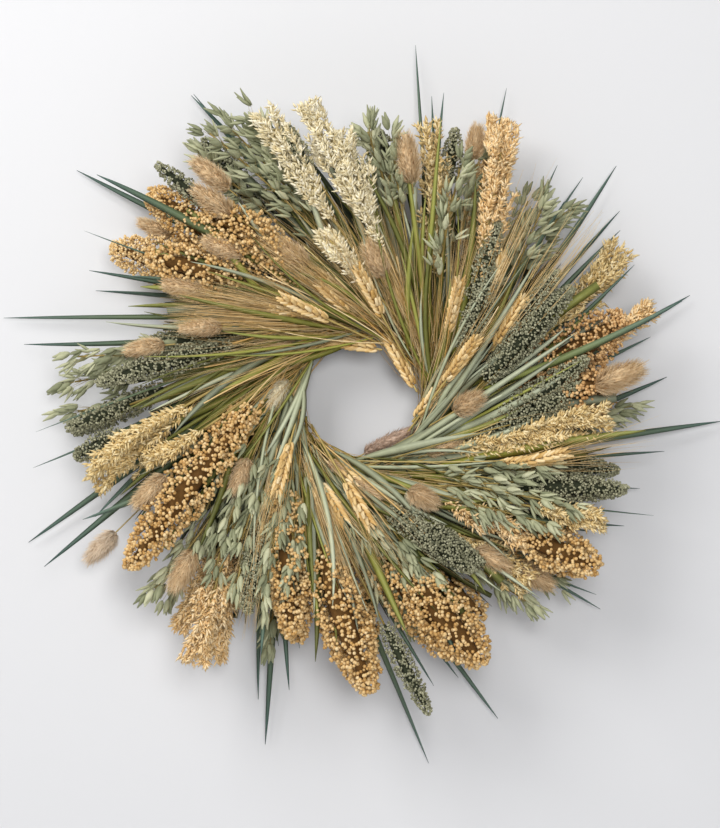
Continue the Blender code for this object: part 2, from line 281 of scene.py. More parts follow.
def measured(node):
    """The line of a packed stalk, the share of it where the head starts, and the head's radius."""
    points = vertices_of(frame["nodes"][node])
    tip = points[np.argmax(np.linalg.norm(points - CENTRE, axis=1))]
    reach = np.linalg.norm(points - tip, axis=1)
    foot = points[reach > reach.max() - FOOT_DEPTH].mean(axis=0)
    along = unit_rows(tip - foot)
    share = (points - foot) @ along
    wide = np.linalg.norm(points - foot - share[:, None] * along, axis=1)
    head = share[wide > STEM_LIMIT]
    return Line(foot, tip), head.min() / np.linalg.norm(tip - foot), wide.max()


PLANTS = ("sorghum", "broom", "green", "oat", "bunny", "wheat", "grass")
stalks = {name: measured(name) for name in sorted(frame["nodes"]) if name.startswith(PLANTS)}
print("stalks measured:", len(stalks))

# %% [markdown]
# ## Lines of the loose filling
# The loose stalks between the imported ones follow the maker's rule: each touches a circle round the
# opening, leaves it at a slant and rises towards the viewer. So a stalk needs only a bearing, two
# distances and a layer, from those laid first against the wall to those laid last on top. A few are
# placed by their ends instead.

# %% Lines of the loose filling
CIRCLE = 78.0  # mm, the circle that every straw is tangent to
BEARING_REACH = 260.0  # mm, the distance at which a bearing is read
STEEPEST = 0.97  # the largest share of its distance that the circle may be, for a line through a point
LAYERS = {  # depth in mm at the circle, and rise for each mm along a straw
    "wall": (5, -0.03),
    "back": (9, 0.07),
    "middle": (15, 0.17),
    "front": (21, 0.27),
    "face": (28, 0.29),
    "top": (35, 0.30),
}


def spot(across, up, layer, run):
    """A point this far right of and above the ring's centre, at the depth its layer has after this run."""
    depth, rise = LAYERS[layer]
    return CENTRE + MM * np.array([across, -depth - max(run, 0) * rise, up])


def run_to(reach, circle=CIRCLE):
    """Length of a straw from its circle out to this distance from the centre."""
    return math.sqrt(max(reach**2 - circle**2, 0))


def laid(bearing, inner, outer, layer, stem=0.0, circle=CIRCLE, bow=0.0, lift=0.0):
    """A line at a bearing out to the outer distance, and the share where its head starts, at the inner one.
    Its foot is this far from where it touches the circle."""
    base = math.radians(bearing) - math.acos(circle / BEARING_REACH)
    ends = []
    for run in (stem, run_to(outer, circle)):
        across = circle * math.cos(base) - run * math.sin(base)
        up = circle * math.sin(base) + run * math.cos(base)
        ends.append(spot(across, up, layer, run))
    head = (run_to(inner, circle) - stem) / (run_to(outer, circle) - stem)
    return Line(*ends, bow * MM, lift * MM), max(head, 0.02)


def between(start, end, layer, bow=0.0, lift=0.0):
    """A line between two points given as (across, up) in mm from the ring's centre."""
    ends = [spot(*point, layer, run_to(math.hypot(*point))) for point in (start, end)]
    return Line(*ends, bow * MM, lift * MM)


def through(across, up, length, layer, stem=10.0):
    """A line through a point along its ray, with a head of this length in the middle of it."""
    reach = math.hypot(across, up)
    base = math.atan2(up, across) - math.acos(min(CIRCLE / reach, STEEPEST))
    along = np.array([-math.sin(base), math.cos(base)])
    start = np.array([across, up]) - along * (length / 2 + stem)
    end = np.array([across, up]) + along * length / 2
    return between(start, end, layer), stem / (stem + length)


print("a straw that ends at 260 mm is", round(run_to(260)), "mm long")

# %% [markdown]
# ## Shapes that repeat
# A wreath is many thousand grains, husks, hairs and leaves. Instances or a particle system could set
# them out, but the finished pieces must be real mesh. So each kind is modelled once, from a primitive
# shaped in edit mode, and its vertices and faces are copied along the stalks. Each is only a few
# millimetres long, so it has few faces.

# %% Edit-mode helpers
def start_fresh():
    """Leaves edit mode and deselects everything, so that an operator acts only on what comes next."""
    if bpy.context.object and bpy.context.object.mode != "OBJECT":
        bpy.ops.object.mode_set(mode="OBJECT")
    bpy.ops.object.select_all(action="DESELECT")


def pick(test):
    """Selects the vertices of the active object whose place passes the test, in edit mode."""
    obj = bpy.context.object
    bpy.ops.object.mode_set(mode="EDIT")
    bpy.ops.mesh.select_mode(type="VERT")
    bpy.ops.mesh.select_all(action="DESELECT")
    bpy.ops.object.mode_set(mode="OBJECT")
    for vertex in obj.data.vertices:
        vertex.select = test(vertex.co)
    bpy.ops.object.mode_set(mode="EDIT")


class Shape:
    """A modelled shape as arrays of vertices and triangles. The object it came from is removed."""

    def __init__(self, obj):
        start_fresh()
        obj.data.calc_loop_triangles()
        self.verts = vertices_of(obj)
        corners = np.empty(len(obj.data.loop_triangles) * 3, np.int64)
        obj.data.loop_triangles.foreach_get("vertices", corners)
        self.faces = corners.reshape(-1, 3)
        bpy.data.objects.remove(obj)


def start_ball(segments, rings):
    """A ball one unit tall that stands on the origin."""
    start_fresh()
    bpy.ops.mesh.primitive_uv_sphere_add(segments=segments, ring_count=rings, radius=0.5,
                                         location=(0, 0, 0.5))
    bpy.ops.object.transform_apply(location=True)


def finished_shape():
    """The active object as a shape."""
    bpy.ops.object.mode_set(mode="OBJECT")
    return Shape(bpy.context.object)


# %% [markdown]
# ## Grains
# A sorghum grain is round and sits on a pointed foot. Millet is so small that two blunt pyramids back to
# back read as a seed. A wheat kernel is plump below and drawn out to a point where its awn leaves.

# %% Grains: sorghum, millet and wheat
def model_sorghum_grain():
    """A round seed standing on its pointed end, one unit long."""
    start_fresh()
    bpy.ops.mesh.primitive_ico_sphere_add(subdivisions=1, radius=0.5, location=(0, 0, 0.5))
    bpy.ops.object.transform_apply(location=True)
    pick(lambda co: co.z < 0.1)
    bpy.ops.transform.translate(value=(0, 0, -0.12))
    pick(lambda co: True)
    bpy.ops.transform.resize(value=(0.92, 0.92, 1), center_override=(0, 0, 0))
    return finished_shape()


def model_millet_grain():
    """A tiny seed, one unit long: two blunt pyramids back to back."""
    start_ball(4, 2)
    pick(lambda co: 0.1 < co.z < 0.9)
    bpy.ops.transform.resize(value=(1.15, 1.15, 1), center_override=(0, 0, 0.5))
    return finished_shape()


def model_kernel():
    """A wheat kernel in its husk: plump below, drawn out to a point."""
    start_ball(6, 5)
    pick(lambda co: True)
    bpy.ops.transform.resize(value=(0.42, 0.34, 1), center_override=(0, 0, 0))
    pick(lambda co: co.z > 0.85)
    bpy.ops.transform.translate(value=(0, 0.06, 0.22))
    pick(lambda co: 0.6 < co.z < 0.85)
    bpy.ops.transform.resize(value=(0.8, 0.8, 1), center_override=(0, 0, 0.7))
    return finished_shape()


SORGHUM_GRAIN = model_sorghum_grain()
MILLET_GRAIN = model_millet_grain()
WHEAT_KERNEL = model_kernel()
print("faces of a grain", len(SORGHUM_GRAIN.faces), "and of a kernel", len(WHEAT_KERNEL.faces))

# %% [markdown]
# ## Husks
# What shows on a cream plume is not its seed but the open husk round it, a flat pointed scale. An oat
# spikelet is a pair of boat-shaped husks, made as one and turned half round for the other.

# %% Husks: millet flakes and oat spikelets
def model_flake():
    """A pale open husk: a flat pointed scale."""
    start_ball(4, 2)
    pick(lambda co: True)
    bpy.ops.transform.resize(value=(0.66, 0.4, 1), center_override=(0, 0, 0))
    pick(lambda co: 0.1 < co.z < 0.9)
    bpy.ops.transform.translate(value=(0, 0, -0.12))
    pick(lambda co: co.z > 0.9)
    bpy.ops.transform.translate(value=(0.1, 0.1, 0.15))
    return finished_shape()


SPIKELET_SPREAD = math.radians(7)


def model_spikelet():
    """An oat spikelet: two boat-shaped husks that part at their tips."""
    start_ball(6, 6)
    pick(lambda co: True)
    bpy.ops.transform.resize(value=(0.24, 0.15, 1), center_override=(0, 0, 0))
    pick(lambda co: co.z > 0.7)
    bpy.ops.transform.resize(value=(0.6, 0.6, 1), center_override=(0, 0, 0.8))
    pick(lambda co: True)
    bpy.ops.transform.translate(value=(0, 0.03, 0))
    bpy.ops.transform.rotate(value=SPIKELET_SPREAD, orient_axis="X", center_override=(0, 0, 0))
    bpy.ops.mesh.duplicate()
    bpy.ops.transform.rotate(value=math.pi, orient_axis="Z", center_override=(0, 0, 0))
    return finished_shape()


MILLET_FLAKE = model_flake()
OAT_SPIKELET = model_spikelet()
print("faces of a flake", len(MILLET_FLAKE.faces), "and of a spikelet", len(OAT_SPIKELET.faces))

# %% [markdown]
# ## Straw, hair and leaves
# Straws, awns, hairs, the core inside a head and leaves are all long and thin. They differ only in how
# many sides they have and how wide they are from root to tip, so one function extrudes them all.

# %% Straw, hair and leaves
def model_strip(sides, widths):
    """A closed strip along +Z, one unit long, made by extruding a small face from station to station."""
    start_fresh()
    bpy.ops.mesh.primitive_circle_add(vertices=sides, radius=0.5, fill_type="NGON")
    bpy.ops.object.mode_set(mode="EDIT")
    bpy.ops.mesh.select_all(action="SELECT")
    step = 1 / (len(widths) - 1)
    bpy.ops.transform.resize(value=(widths[0], widths[0], 1), center_override=(0, 0, 0))
    for station in range(1, len(widths)):
        bpy.ops.mesh.extrude_region_move(TRANSFORM_OT_translate={"value": (0, 0, step)})
        grow = widths[station] / widths[station - 1]
        bpy.ops.transform.resize(value=(grow, grow, 1), center_override=(0, 0, station * step))
    bpy.ops.mesh.select_all(action="SELECT")
    bpy.ops.mesh.normals_make_consistent(inside=False)
    return finished_shape()


STRAW = model_strip(5, [1.0] * 9)
AWN = model_strip(3, [1.0, 0.8, 0.6, 0.4, 0.15])
HAIR = model_strip(3, [1.0, 0.1])
CORE = model_strip(7, [0.25, 0.7, 0.95, 1.0, 0.9, 0.6, 0.2])
BLADE_WIDTHS = [0.35, 0.5, 0.7, 0.85, 0.95, 1.0, 1.0, 0.97, 0.92, 0.85, 0.78, 0.68, 0.55, 0.36, 0.06]
BLADE = model_strip(4, BLADE_WIDTHS)
CUT_LEAF = model_strip(4, [0.5, 0.75, 0.95, 1.0, 1.0, 0.98, 0.95, 0.92, 0.9])
print("faces of a blade", len(BLADE.faces))

# %% [markdown]
# ## Planting
# A piece is one plant, or one kind of filling. A thousand joined objects would be slow, so a bundle
# gathers the copies as arrays and makes one mesh at the end. Every copy takes a random `tone`, which
# its material turns into a slightly different shade, and `along` says how far from root to tip it sits.

# %% A bundle of copies
class Bundle:
    """Copies of shapes, gathered into one piece."""

    def __init__(self):
        self.parts = []
        self.size = 0

    def add(self, verts, faces, tone, along, finish):
        """verts is (copies, vertices, 3). tone and along have one value for each vertex or each copy."""
        copies, count = verts.shape[:2]
        shift = self.size + np.arange(copies)[:, None, None] * count
        spread = [np.broadcast_to(np.asarray(v, float), (copies, count)) for v in (tone, along)]
        self.parts.append((verts.reshape(-1, 3), (faces[None] + shift).reshape(-1, 3),
                           spread[0].ravel(), spread[1].ravel(), np.full(copies * len(faces), finish)))
        self.size += copies * count

    def plant(self, shape, places, axes, sizes, tone, along=0.5, finish=0):
        """Copies of a shape at places, with their own axes (rows side, front, along) and sizes."""
        sizes = np.broadcast_to(np.asarray(sizes, float), (len(places), 3))
        turned = np.einsum("nk,mk,mkj->mnj", shape.verts, sizes, axes)
        tone = np.reshape(tone, (-1, 1))
        along = np.reshape(along, (-1, 1))
        self.add(places[:, None] + turned, shape.faces, tone, along, finish)

    def sweep(self, shape, line, width, thickness, tone, finish=0, roll=0.0, twist=0.0, reach=(0.0, 1.0)):
        """One long shape bent along a line, between two shares of its length."""
        share = reach[0] + shape.verts[:, 2] * (reach[1] - reach[0])
        axes = line.axes(share, roll + twist * shape.verts[:, 2])
        verts = (line.at(share) + axes[:, 0] * shape.verts[:, :1] * width
                 + axes[:, 1] * shape.verts[:, 1:2] * thickness)
        self.add(verts[None], shape.faces, tone, share[None], finish)

    def make(self, name, finishes, nodes=()):
        """The finished piece, riding on the wreath and standing for the named nodes."""
        verts, faces, tone, along, finish = (np.concatenate(column) for column in zip(*self.parts))
        mesh = bpy.data.meshes.new(name)
        mesh.from_pydata(verts.tolist(), [], faces.tolist())
        for label, values in (("tone", tone), ("along", along)):
            mesh.attributes.new(label, "FLOAT", "POINT").data.foreach_set("value", values.astype(np.float32))
        for material in finishes:
            mesh.materials.append(material)
        mesh.polygons.foreach_set("material_index", finish.astype(np.int32))
        mesh.shade_smooth()
        piece = bpy.data.objects.new(name, mesh)
        bpy.context.scene.collection.objects.link(piece)
        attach(piece, "wreath")
        if nodes:
            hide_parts(*nodes)
        return piece


# %% Directions that lean out from a stalk
def leaning(axes, turn, lean):
    """Axes whose along direction leans out from each stalk direction, at this turn round it."""
    turn = np.asarray(turn)[:, None]
    lean = np.broadcast_to(np.asarray(lean, float), (len(turn),))[:, None]
    out = axes[:, 0] * np.cos(turn) + axes[:, 1] * np.sin(turn)
    across = axes[:, 1] * np.cos(turn) - axes[:, 0] * np.sin(turn)
    along = axes[:, 2] * np.cos(lean) + out * np.sin(lean)
    front = np.cross(along, across)
    return np.stack([across, front, along], axis=1)


# %% [markdown]
# ## Finish of grains, husks and hairs
# Dried plant matter is matt, and no two grains have the same shade. A picture of grain could be wrapped
# round each head, but it would stretch on shapes this small. So a ramp of real shades is read by the
# copy's own tone, mixed with a fine mottling that also gives the surface a slight relief.

# %% Grain and husk finish
RELIEF = 0.5  # strength of the bump
DRY_GLOSS = 0.3  # specular level of a dry, dusty surface
SEED_COAT = (0.55, 3.0, 0.35, 0.3)  # roughness, mottle in mm, its share, relief in mm: a hard, waxy skin
PAPER = (0.7, 4.0, 0.3, 0.2)  # a thin papery scale
FLUFF = (0.9, 5.0, 0.3, 0.1)  # hair too fine to shine
PITH = (0.9, 4.0, 0.5, 0.3)  # the dull stalk inside a head


def dried_finish(name, shades, surface):
    """Matt dried plant skin. Shades run from the darkest copies to the palest."""
    roughness, mottle_mm, mottle_share, relief_mm = surface
    material, tree = blank_material(name)
    place = add_node(tree, "ShaderNodeTexCoord")
    tone = add_node(tree, "ShaderNodeAttribute", [("attribute_name", "tone")])
    mottle = add_node(tree, "ShaderNodeTexNoise", [("Scale", 1 / (mottle_mm * MM)), ("Detail", 3.0)],
                      [("Vector", place.outputs["Object"])])
    blend = add_node(tree, "ShaderNodeMix", [("data_type", "FLOAT"), (0, mottle_share)],
                     [(2, tone.outputs["Fac"]), (3, mottle.outputs["Fac"])])
    ramp = add_node(tree, "ShaderNodeValToRGB", [], [("Fac", blend.outputs[0])])
    while len(ramp.color_ramp.elements) < len(shades):
        ramp.color_ramp.elements.new(0.5)
    for i, shade in enumerate(shades):
        ramp.color_ramp.elements[i].position = i / (len(shades) - 1)
        ramp.color_ramp.elements[i].color = srgb(shade)
    close_finish(tree, ramp.outputs["Color"], mottle.outputs["Fac"], RELIEF, relief_mm,
                 [("Roughness", roughness), ("Specular IOR Level", DRY_GLOSS)])
    return material


# Ripe sorghum seed: tan with cream tops and a soft shine. One head is paler, two are russet.
SORGHUM_SKIN = dried_finish("sorghum_grain", ["#956C38", "#C59B5C", "#E2C28A", "#F3DEB4"], SEED_COAT)
PALE_SKIN = dried_finish("pale_sorghum_grain", ["#B8935A", "#D9B579", "#ECD09C", "#F8E6C2"], SEED_COAT)
RUSSET_SKIN = dried_finish("russet_sorghum_grain", ["#94683A", "#BF945E", "#D9B37E", "#EACC9E"], SEED_COAT)
# Broom millet husk: papery, from bleached cream through straw gold to peach.
CREAM_HUSK = dried_finish("cream_millet_husk", ["#CDB888", "#E9DCB4", "#F6EDD0", "#FDF8E8"], PAPER)
GOLD_HUSK = dried_finish("golden_millet_husk", ["#BC9A5C", "#DBC085", "#EED9A6", "#F8ECC8"], PAPER)
PEACH_HUSK = dried_finish("peach_millet_husk", ["#C9A266", "#E4C088", "#F3D8A8", "#FAE8C6"], PAPER)
# Green millet seed, cut unripe: dusty grey green with paler specks.
GREEN_SEED = dried_finish("green_millet_seed", ["#4B4C36", "#7A7A60", "#A09F83", "#C6C3A6"],
                          (0.75, 2.5, 0.3, 0.2))
# Oat husk: sage green, smooth and slightly ribbed.
OAT_HUSK = dried_finish("sage_oat_husk", ["#5F6449", "#8C9071", "#B4B694", "#D8D7B8"],
                        (0.65, 6.0, 0.35, 0.3))
# Wheat husk and awns: golden, with more shine than the other husks.
WHEAT_HUSK = dried_finish("wheat_husk", ["#7C5724", "#C39A55", "#E8CA90", "#F7E7C2"], (0.55, 4.0, 0.3, 0.3))
# Bunny tail hair: soft taupe, and bleached, blush or rosy on a few.
TAIL_HAIR = dried_finish("bunny_tail_hair", ["#B8936A", "#D6B78C", "#EAD2AA", "#F8E8CC"], FLUFF)
PALE_HAIR = dried_finish("blush_tail_hair", ["#D0B698", "#E4CEB2", "#F1E0CA", "#F9EFE1"], FLUFF)
CREAM_HAIR = dried_finish("cream_tail_hair", ["#D6C9A4", "#E8DDBC", "#F4EBD0", "#FBF5E4"], FLUFF)
ROSE_HAIR = dried_finish("rosy_tail_hair", ["#A98C78", "#C4A893", "#DBC3AF", "#EBD9C9"], FLUFF)
# Straw: the stems, from dark brown to pale gold, with a little gloss along them. The dark end is deepened
# past the straw's own colour as painted shade, to darken the gaps between the stalks.
STRAW_SKIN = dried_finish("pale_straw", ["#46391B", "#7E6B34", "#BBA565", "#E0CF9A"], (0.5, 8.0, 0.4, 0.2))
# The stalks inside the heads, which only show in the gaps between grains. Their brown is darkened into
# painted shade, so the gaps read as grains in shadow, and the green core is painted near black as shade.
PAINTED_SHADE_CORE = dried_finish("painted_shade_core", ["#4A3316", "#6B4C24", "#8C6836"], PITH)
PAINTED_SHADE_GREEN_CORE = dried_finish("painted_shade_green_core", ["#23261A", "#333827", "#454A36"], PITH)
print("materials so far", len([m for m in bpy.data.materials if m.use_nodes]))

# %% [markdown]
# ## Finish of leaves
# A dried reed leaf is olive where it leaves the stem and often blue green at its tip, with streaks and
# fine raised veins. Painting each leaf would be slow, so the leaf's own `along` value blends a root
# shade into a tip shade, and noise of two sizes gives the streaks and the veins.

# %% Leaf finish
STREAK_MM = 9.0  # size of the lighter and darker streaks
STREAK_SHARE = 0.3
VEIN_MM = 1.1  # coarser than real veins, so that they show
VEIN_HEIGHT_MM = 0.2
VEIN_RELIEF = 0.4
LEAF_ROUGHNESS = 0.5
LEAF_GLOSS = 0.35


def leaf_finish(name, root_shades, tip_shades):
    """A dried leaf: shade from root to tip, streaks along it and fine raised veins."""
    material, tree = blank_material(name)
    place = add_node(tree, "ShaderNodeTexCoord")
    tone = add_node(tree, "ShaderNodeAttribute", [("attribute_name", "tone")])
    along = add_node(tree, "ShaderNodeAttribute", [("attribute_name", "along")])
    streak = add_node(tree, "ShaderNodeTexNoise", [("Scale", 1 / (STREAK_MM * MM)), ("Detail", 4.0)],
                      [("Vector", place.outputs["Object"])])
    blend = add_node(tree, "ShaderNodeMix", [("data_type", "FLOAT"), (0, STREAK_SHARE)],
                     [(2, tone.outputs["Fac"]), (3, streak.outputs["Fac"])])
    ramps = []
    for shades in (root_shades, tip_shades):
        ramp = add_node(tree, "ShaderNodeValToRGB", [], [("Fac", blend.outputs[0])])
        for element, shade in zip(ramp.color_ramp.elements, shades):
            element.color = srgb(shade)
        ramps.append(ramp.outputs["Color"])
    colour = add_node(tree, "ShaderNodeMix", [("data_type", "RGBA")],
                      [(0, along.outputs["Fac"]), (6, ramps[0]), (7, ramps[1])])
    veins = add_node(tree, "ShaderNodeTexNoise", [("Scale", 1 / (VEIN_MM * MM)), ("Detail", 1.0)],
                     [("Vector", place.outputs["Object"])])
    close_finish(tree, colour.outputs[2], veins.outputs["Fac"], VEIN_RELIEF, VEIN_HEIGHT_MM,
                 [("Roughness", LEAF_ROUGHNESS), ("Specular IOR Level", LEAF_GLOSS)])
    return material


# Each is given as darkest and palest shade at the root, then at the tip. Reed is blue green at its tip,
# the shade leaf is painted near black as painted shade for leaves deep in the bunch, olive and sage are
# the ones that show on the face.
REED_LEAF = leaf_finish("reed_leaf", ("#636B2C", "#8E9238"), ("#37514D", "#5D7770"))
PAINTED_SHADE_LEAF = leaf_finish("painted_shade_leaf", ("#17180A", "#37381A"), ("#1D2417", "#434C30"))
OLIVE_LEAF = leaf_finish("olive_leaf", ("#282A10", "#A9A743"), ("#2F3517", "#A2A65A"))
SAGE_LEAF = leaf_finish("sage_leaf", ("#343B26", "#C0C69F"), ("#47503A", "#D2D8BC"))

# %% [markdown]
# ## Heads of grain
# Sorghum carries round grains in tight knots on short branches that spiral up a stalk. Green millet is
# the same idea with tiny grains. Scattering grains at random leaves bare patches, so the knots follow
# the spiral of the plant and only the grains inside a knot are random. The stalk inside is a plain core.

# %% Knots of grains round a head
BURIED = 0.66  # grains nearer the axis than this share of the radius are left out
SPIRAL = 2.4  # radians from one knot to the next, the turn most plants grow with
KNOT_SHARE = 0.55  # size of a knot, as a share of the head's radius
KNOT_FORM = np.array([0.5, 0.5, 0.85])  # a knot is longer than it is wide


def seed_of(name):
    """A random seed that depends only on the piece's name."""
    return sum((i + 1) * 131 * ord(letter) for i, letter in enumerate(name))


def head_outline(share, full):
    """Radius of a head, from 0 to 1, at each share of its length; full says how blunt its tip is."""
    share = np.clip(share, 0, 1)
    return np.sin(np.pi * np.clip(share * 0.93 + 0.05, 0, 1) ** full) ** 0.62


def grow_knotted(bundle, line, head, radius, rng, shape, grain_mm, knots, grains, full, core):
    """Knots of grains round a head. Each knot is a short branch that leans out and forward."""
    share = ((np.arange(knots) + rng.uniform(0, 1, knots)) / knots) ** 0.9
    place = head + share * (1 - head)
    turn = SPIRAL * np.arange(knots) + rng.uniform(-0.4, 0.4, knots)
    stalk = line.axes(place)
    axes = leaning(stalk, turn, np.radians(rng.uniform(40, 70, knots)))
    push = stalk[:, 0] * np.cos(turn)[:, None] + stalk[:, 1] * np.sin(turn)[:, None]
    room = radius * head_outline(share, full)[:, None]
    knot_size = np.minimum(room, radius * KNOT_SHARE)
    centres = line.at(place) + push * (room - knot_size * 0.45)
    spread = unit_rows(rng.normal(size=(knots, grains, 3))) * rng.uniform(0.75, 1.0, (knots, grains, 1))
    spread[:, :, 2] = np.abs(spread[:, :, 2]) - 0.15  # most grains sit on the outer side of their knot
    offsets = np.einsum("mgk,mkj->mgj", spread * KNOT_FORM, axes) * knot_size[:, None]
    places = (centres[:, None] + offsets).reshape(-1, 3)
    middle = np.repeat(line.at(place), grains, axis=0)
    shown = np.linalg.norm(places - middle, axis=1) > BURIED * np.repeat(room[:, 0], grains)
    outward = unit_rows(offsets.reshape(-1, 3) + np.repeat(axes[:, 2], grains, 0) * radius * 0.3)
    side = unit_rows(np.cross(outward, rng.normal(size=outward.shape)))
    grain_axes = np.stack([side, np.cross(outward, side), outward], axis=1)
    sizes = grain_mm * MM * rng.uniform(0.8, 1.15, (len(places), 1)) * np.ones(3)
    knot_tone = np.repeat(rng.uniform(-0.15, 0.15, knots), grains)
    tone = np.clip(rng.uniform(0.2, 0.95, len(places)) + knot_tone, 0, 1)
    along = np.repeat(place, grains)
    bundle.plant(shape, places[shown], grain_axes[shown], sizes[shown], tone[shown], along[shown], 0)
    # The core takes the third finish, whose dark colour is painted shade for the gaps between grains.
    bundle.sweep(CORE, line, radius * core, radius * core, 0.4, 2, reach=(head, 0.99))


def grow_stem(bundle, line, width_mm, head, tone):
    """A straw from the foot to just inside the head."""
    bundle.sweep(STRAW, line, width_mm * MM, width_mm * MM, tone, 1, reach=(0.0, head + 0.03))


# %% Sorghum
SORGHUM_MM = 4.1  # a grain
SORGHUM_KNOTS = 112  # on a head of 150 by 42 mm
SORGHUM_AREA = 150 * MM * 21 * MM


def sorghum(name, line, head, radius, skin, nodes=(), grain_mm=SORGHUM_MM):
    """A stalk of sorghum. Smaller grains come in more knots."""
    rng = np.random.default_rng(seed_of(name))
    line = Line(line.foot, line.tip, rng.uniform(-0.006, 0.006), rng.uniform(-0.002, 0.006))
    bundle = Bundle()
    length = line.length * (1 - head)
    knots = int(length * radius / SORGHUM_AREA * SORGHUM_KNOTS * (SORGHUM_MM / grain_mm) ** 1.3)
    grow_knotted(bundle, line, head, radius, rng, SORGHUM_GRAIN, grain_mm, knots, 12, 1.0, 0.9)
    grow_stem(bundle, line, 3.0, head, 0.5)
    return bundle.make(name, [skin, STRAW_SKIN, PAINTED_SHADE_CORE], nodes)


# %% Green millet
MILLET_MM = 2.3  # a grain, a little large so that it shows
MILLET_KNOTS = 165  # on a head of 120 by 21 mm
MILLET_AREA = 120 * MM * 10.5 * MM


def green_millet(name, line, head, radius, nodes=()):
    """A stalk of green millet."""
    rng = np.random.default_rng(seed_of(name))
    line = Line(line.foot, line.tip, rng.uniform(-0.008, 0.008), rng.uniform(-0.002, 0.005))
    bundle = Bundle()
    length = line.length * (1 - head)
    knots = int(length * radius / MILLET_AREA * MILLET_KNOTS)
    grow_knotted(bundle, line, head, radius * 1.05, rng, MILLET_GRAIN, MILLET_MM, knots, 9, 0.85, 1.1)
    grow_stem(bundle, line, 2.4, head, 0.35)
    return bundle.make(name, [GREEN_SEED, STRAW_SKIN, PAINTED_SHADE_GREEN_CORE], nodes)


# %% [markdown]
# ## Cream plumes
# A broom millet plume is a spray of thin branches, each set with open husks. Husks round one solid core
# would look like a cob, so every branch is a line of its own that carries its husks.

# %% Cream millet plume
HUSK_STEP = 1.2 * MM  # along a branch, from husk to husk


def cream_plume(name, line, head, radius, husk, nodes=(), branches=22):
    """A plume of broom millet."""
    rng = np.random.default_rng(seed_of(name))
    line = Line(line.foot, line.tip, rng.uniform(-0.01, 0.01), rng.uniform(0, 0.006))
    bundle = Bundle()
    grow_stem(bundle, line, 2.6, 0.9, 0.6)
    for branch in range(branches):
        root = head + (1 - head) * (branch / branches) * 0.72
        turn = rng.uniform(0, 2 * np.pi)
        reach = min(1.0, root + rng.uniform(0.3, 0.5) * (1 - head) + 0.05)
        base = line.at(root)[0]
        stalk = line.axes((root + reach) / 2)[0]
        out = stalk[0] * math.cos(turn) + stalk[1] * math.sin(turn)
        width = radius * float(head_outline((reach - head) / (1 - head) * 0.8, 1.0)) * rng.uniform(0.6, 1.05)
        end = line.at(reach)[0] + out * width
        twig = Line(base, end, rng.uniform(-0.003, 0.003), rng.uniform(-0.003, 0.004))
        bundle.sweep(AWN, twig, 0.9 * MM, 0.9 * MM, 0.6, 1)
        count = int(twig.length / HUSK_STEP)
        share = np.sort(rng.uniform(0.12, 1, count))
        turns = rng.uniform(0, 2 * np.pi, count)
        axes = leaning(twig.axes(share), turns, np.radians(rng.uniform(15, 70, count)))
        sizes = np.stack([rng.uniform(3.8, 5.8, count)] * 2 + [rng.uniform(4.8, 7.8, count)], axis=1) * MM
        places = twig.at(share) + axes[:, 2] * 0.6 * MM
        bundle.plant(MILLET_FLAKE, places, axes, sizes, rng.uniform(0, 1, count), share, 0)
    return bundle.make(name, [husk, STRAW_SKIN], nodes)


# %% [markdown]
# ## Oats
# Oat spikelets hang from hair-thin stalks, so they follow the stalk a little and gravity a little.

# %% Oat spray
def drooping(axes, weight):
    """The same axes with the along direction pulled down by this share of its length."""
    along = unit_rows(axes[:, 2] + np.array([0.0, 0.0, -weight]))
    side = unit_rows(np.cross(axes[:, 1], along))
    return np.stack([side, np.cross(along, side), along], axis=1)


SPIKELETS = 30
SPIKELET_FORM = np.array((1.5, 1.35, 1.0)) * MM


def oat_spray(bundle, line, head, radius, rng):
    """Spikelets on twigs up the end of a stalk, closer in towards its tip."""
    grow_stem(bundle, line, 1.8, 0.95, rng.uniform(0.3, 0.6))
    for spikelet in range(SPIKELETS):
        share = (spikelet + rng.uniform(0, 1)) / SPIKELETS
        root = head + (1 - head) * share * 0.93
        turn = rng.uniform(0, 2 * np.pi)
        axes = line.axes(root)
        out = axes[0, 0] * math.cos(turn) + axes[0, 1] * math.sin(turn)
        base = line.at(root)[0]
        width = radius * rng.uniform(0.35, 1.0) * (1 - 0.55 * share)
        end = base + axes[0, 2] * rng.uniform(10, 20) * MM + out * width
        twig = Line(base, end, 0.0, rng.uniform(-0.002, 0.003))
        bundle.sweep(AWN, twig, 0.8 * MM, 0.8 * MM, 0.5, 1)
        hang = drooping(leaning(axes, [turn], math.radians(rng.uniform(5, 40))), rng.uniform(0.1, 0.6))
        size = SPIKELET_FORM * rng.uniform(15, 20)
        bundle.plant(OAT_SPIKELET, end[None] - hang[:, 2] * MM, hang, size, rng.uniform(0.1, 0.95), share)


def oat(name, line, head, radius, nodes=()):
    """A stalk of oats."""
    rng = np.random.default_rng(seed_of(name))
    bundle = Bundle()
    line = Line(line.foot, line.tip, rng.uniform(-0.012, 0.012), rng.uniform(0, 0.006))
    oat_spray(bundle, line, head, radius, rng)
    return bundle.make(name, [OAT_HUSK, STRAW_SKIN], nodes)


# %% [markdown]
# ## Wheat
# A wheat ear is plaited: two ranks of kernels that take turns, with a third that faces front or back.
# Most kernels carry one long stiff awn. The awns are what gives the wreath its golden sheen.

# %% Wheat ear
EAR_LENGTH = 56.0 * MM
EAR_ROLL = 0.3  # the ear is turned a little on its stem
RANKS = 13
KERNEL_FORM = np.array((13.5, 12.5, 9.5)) * MM
AWN_MM = 95.0
AWN_SPREAD = 9.0  # degrees
AWN_WIDTH = 0.55 * MM
BALD = 0.3  # share of kernels whose awn has broken off


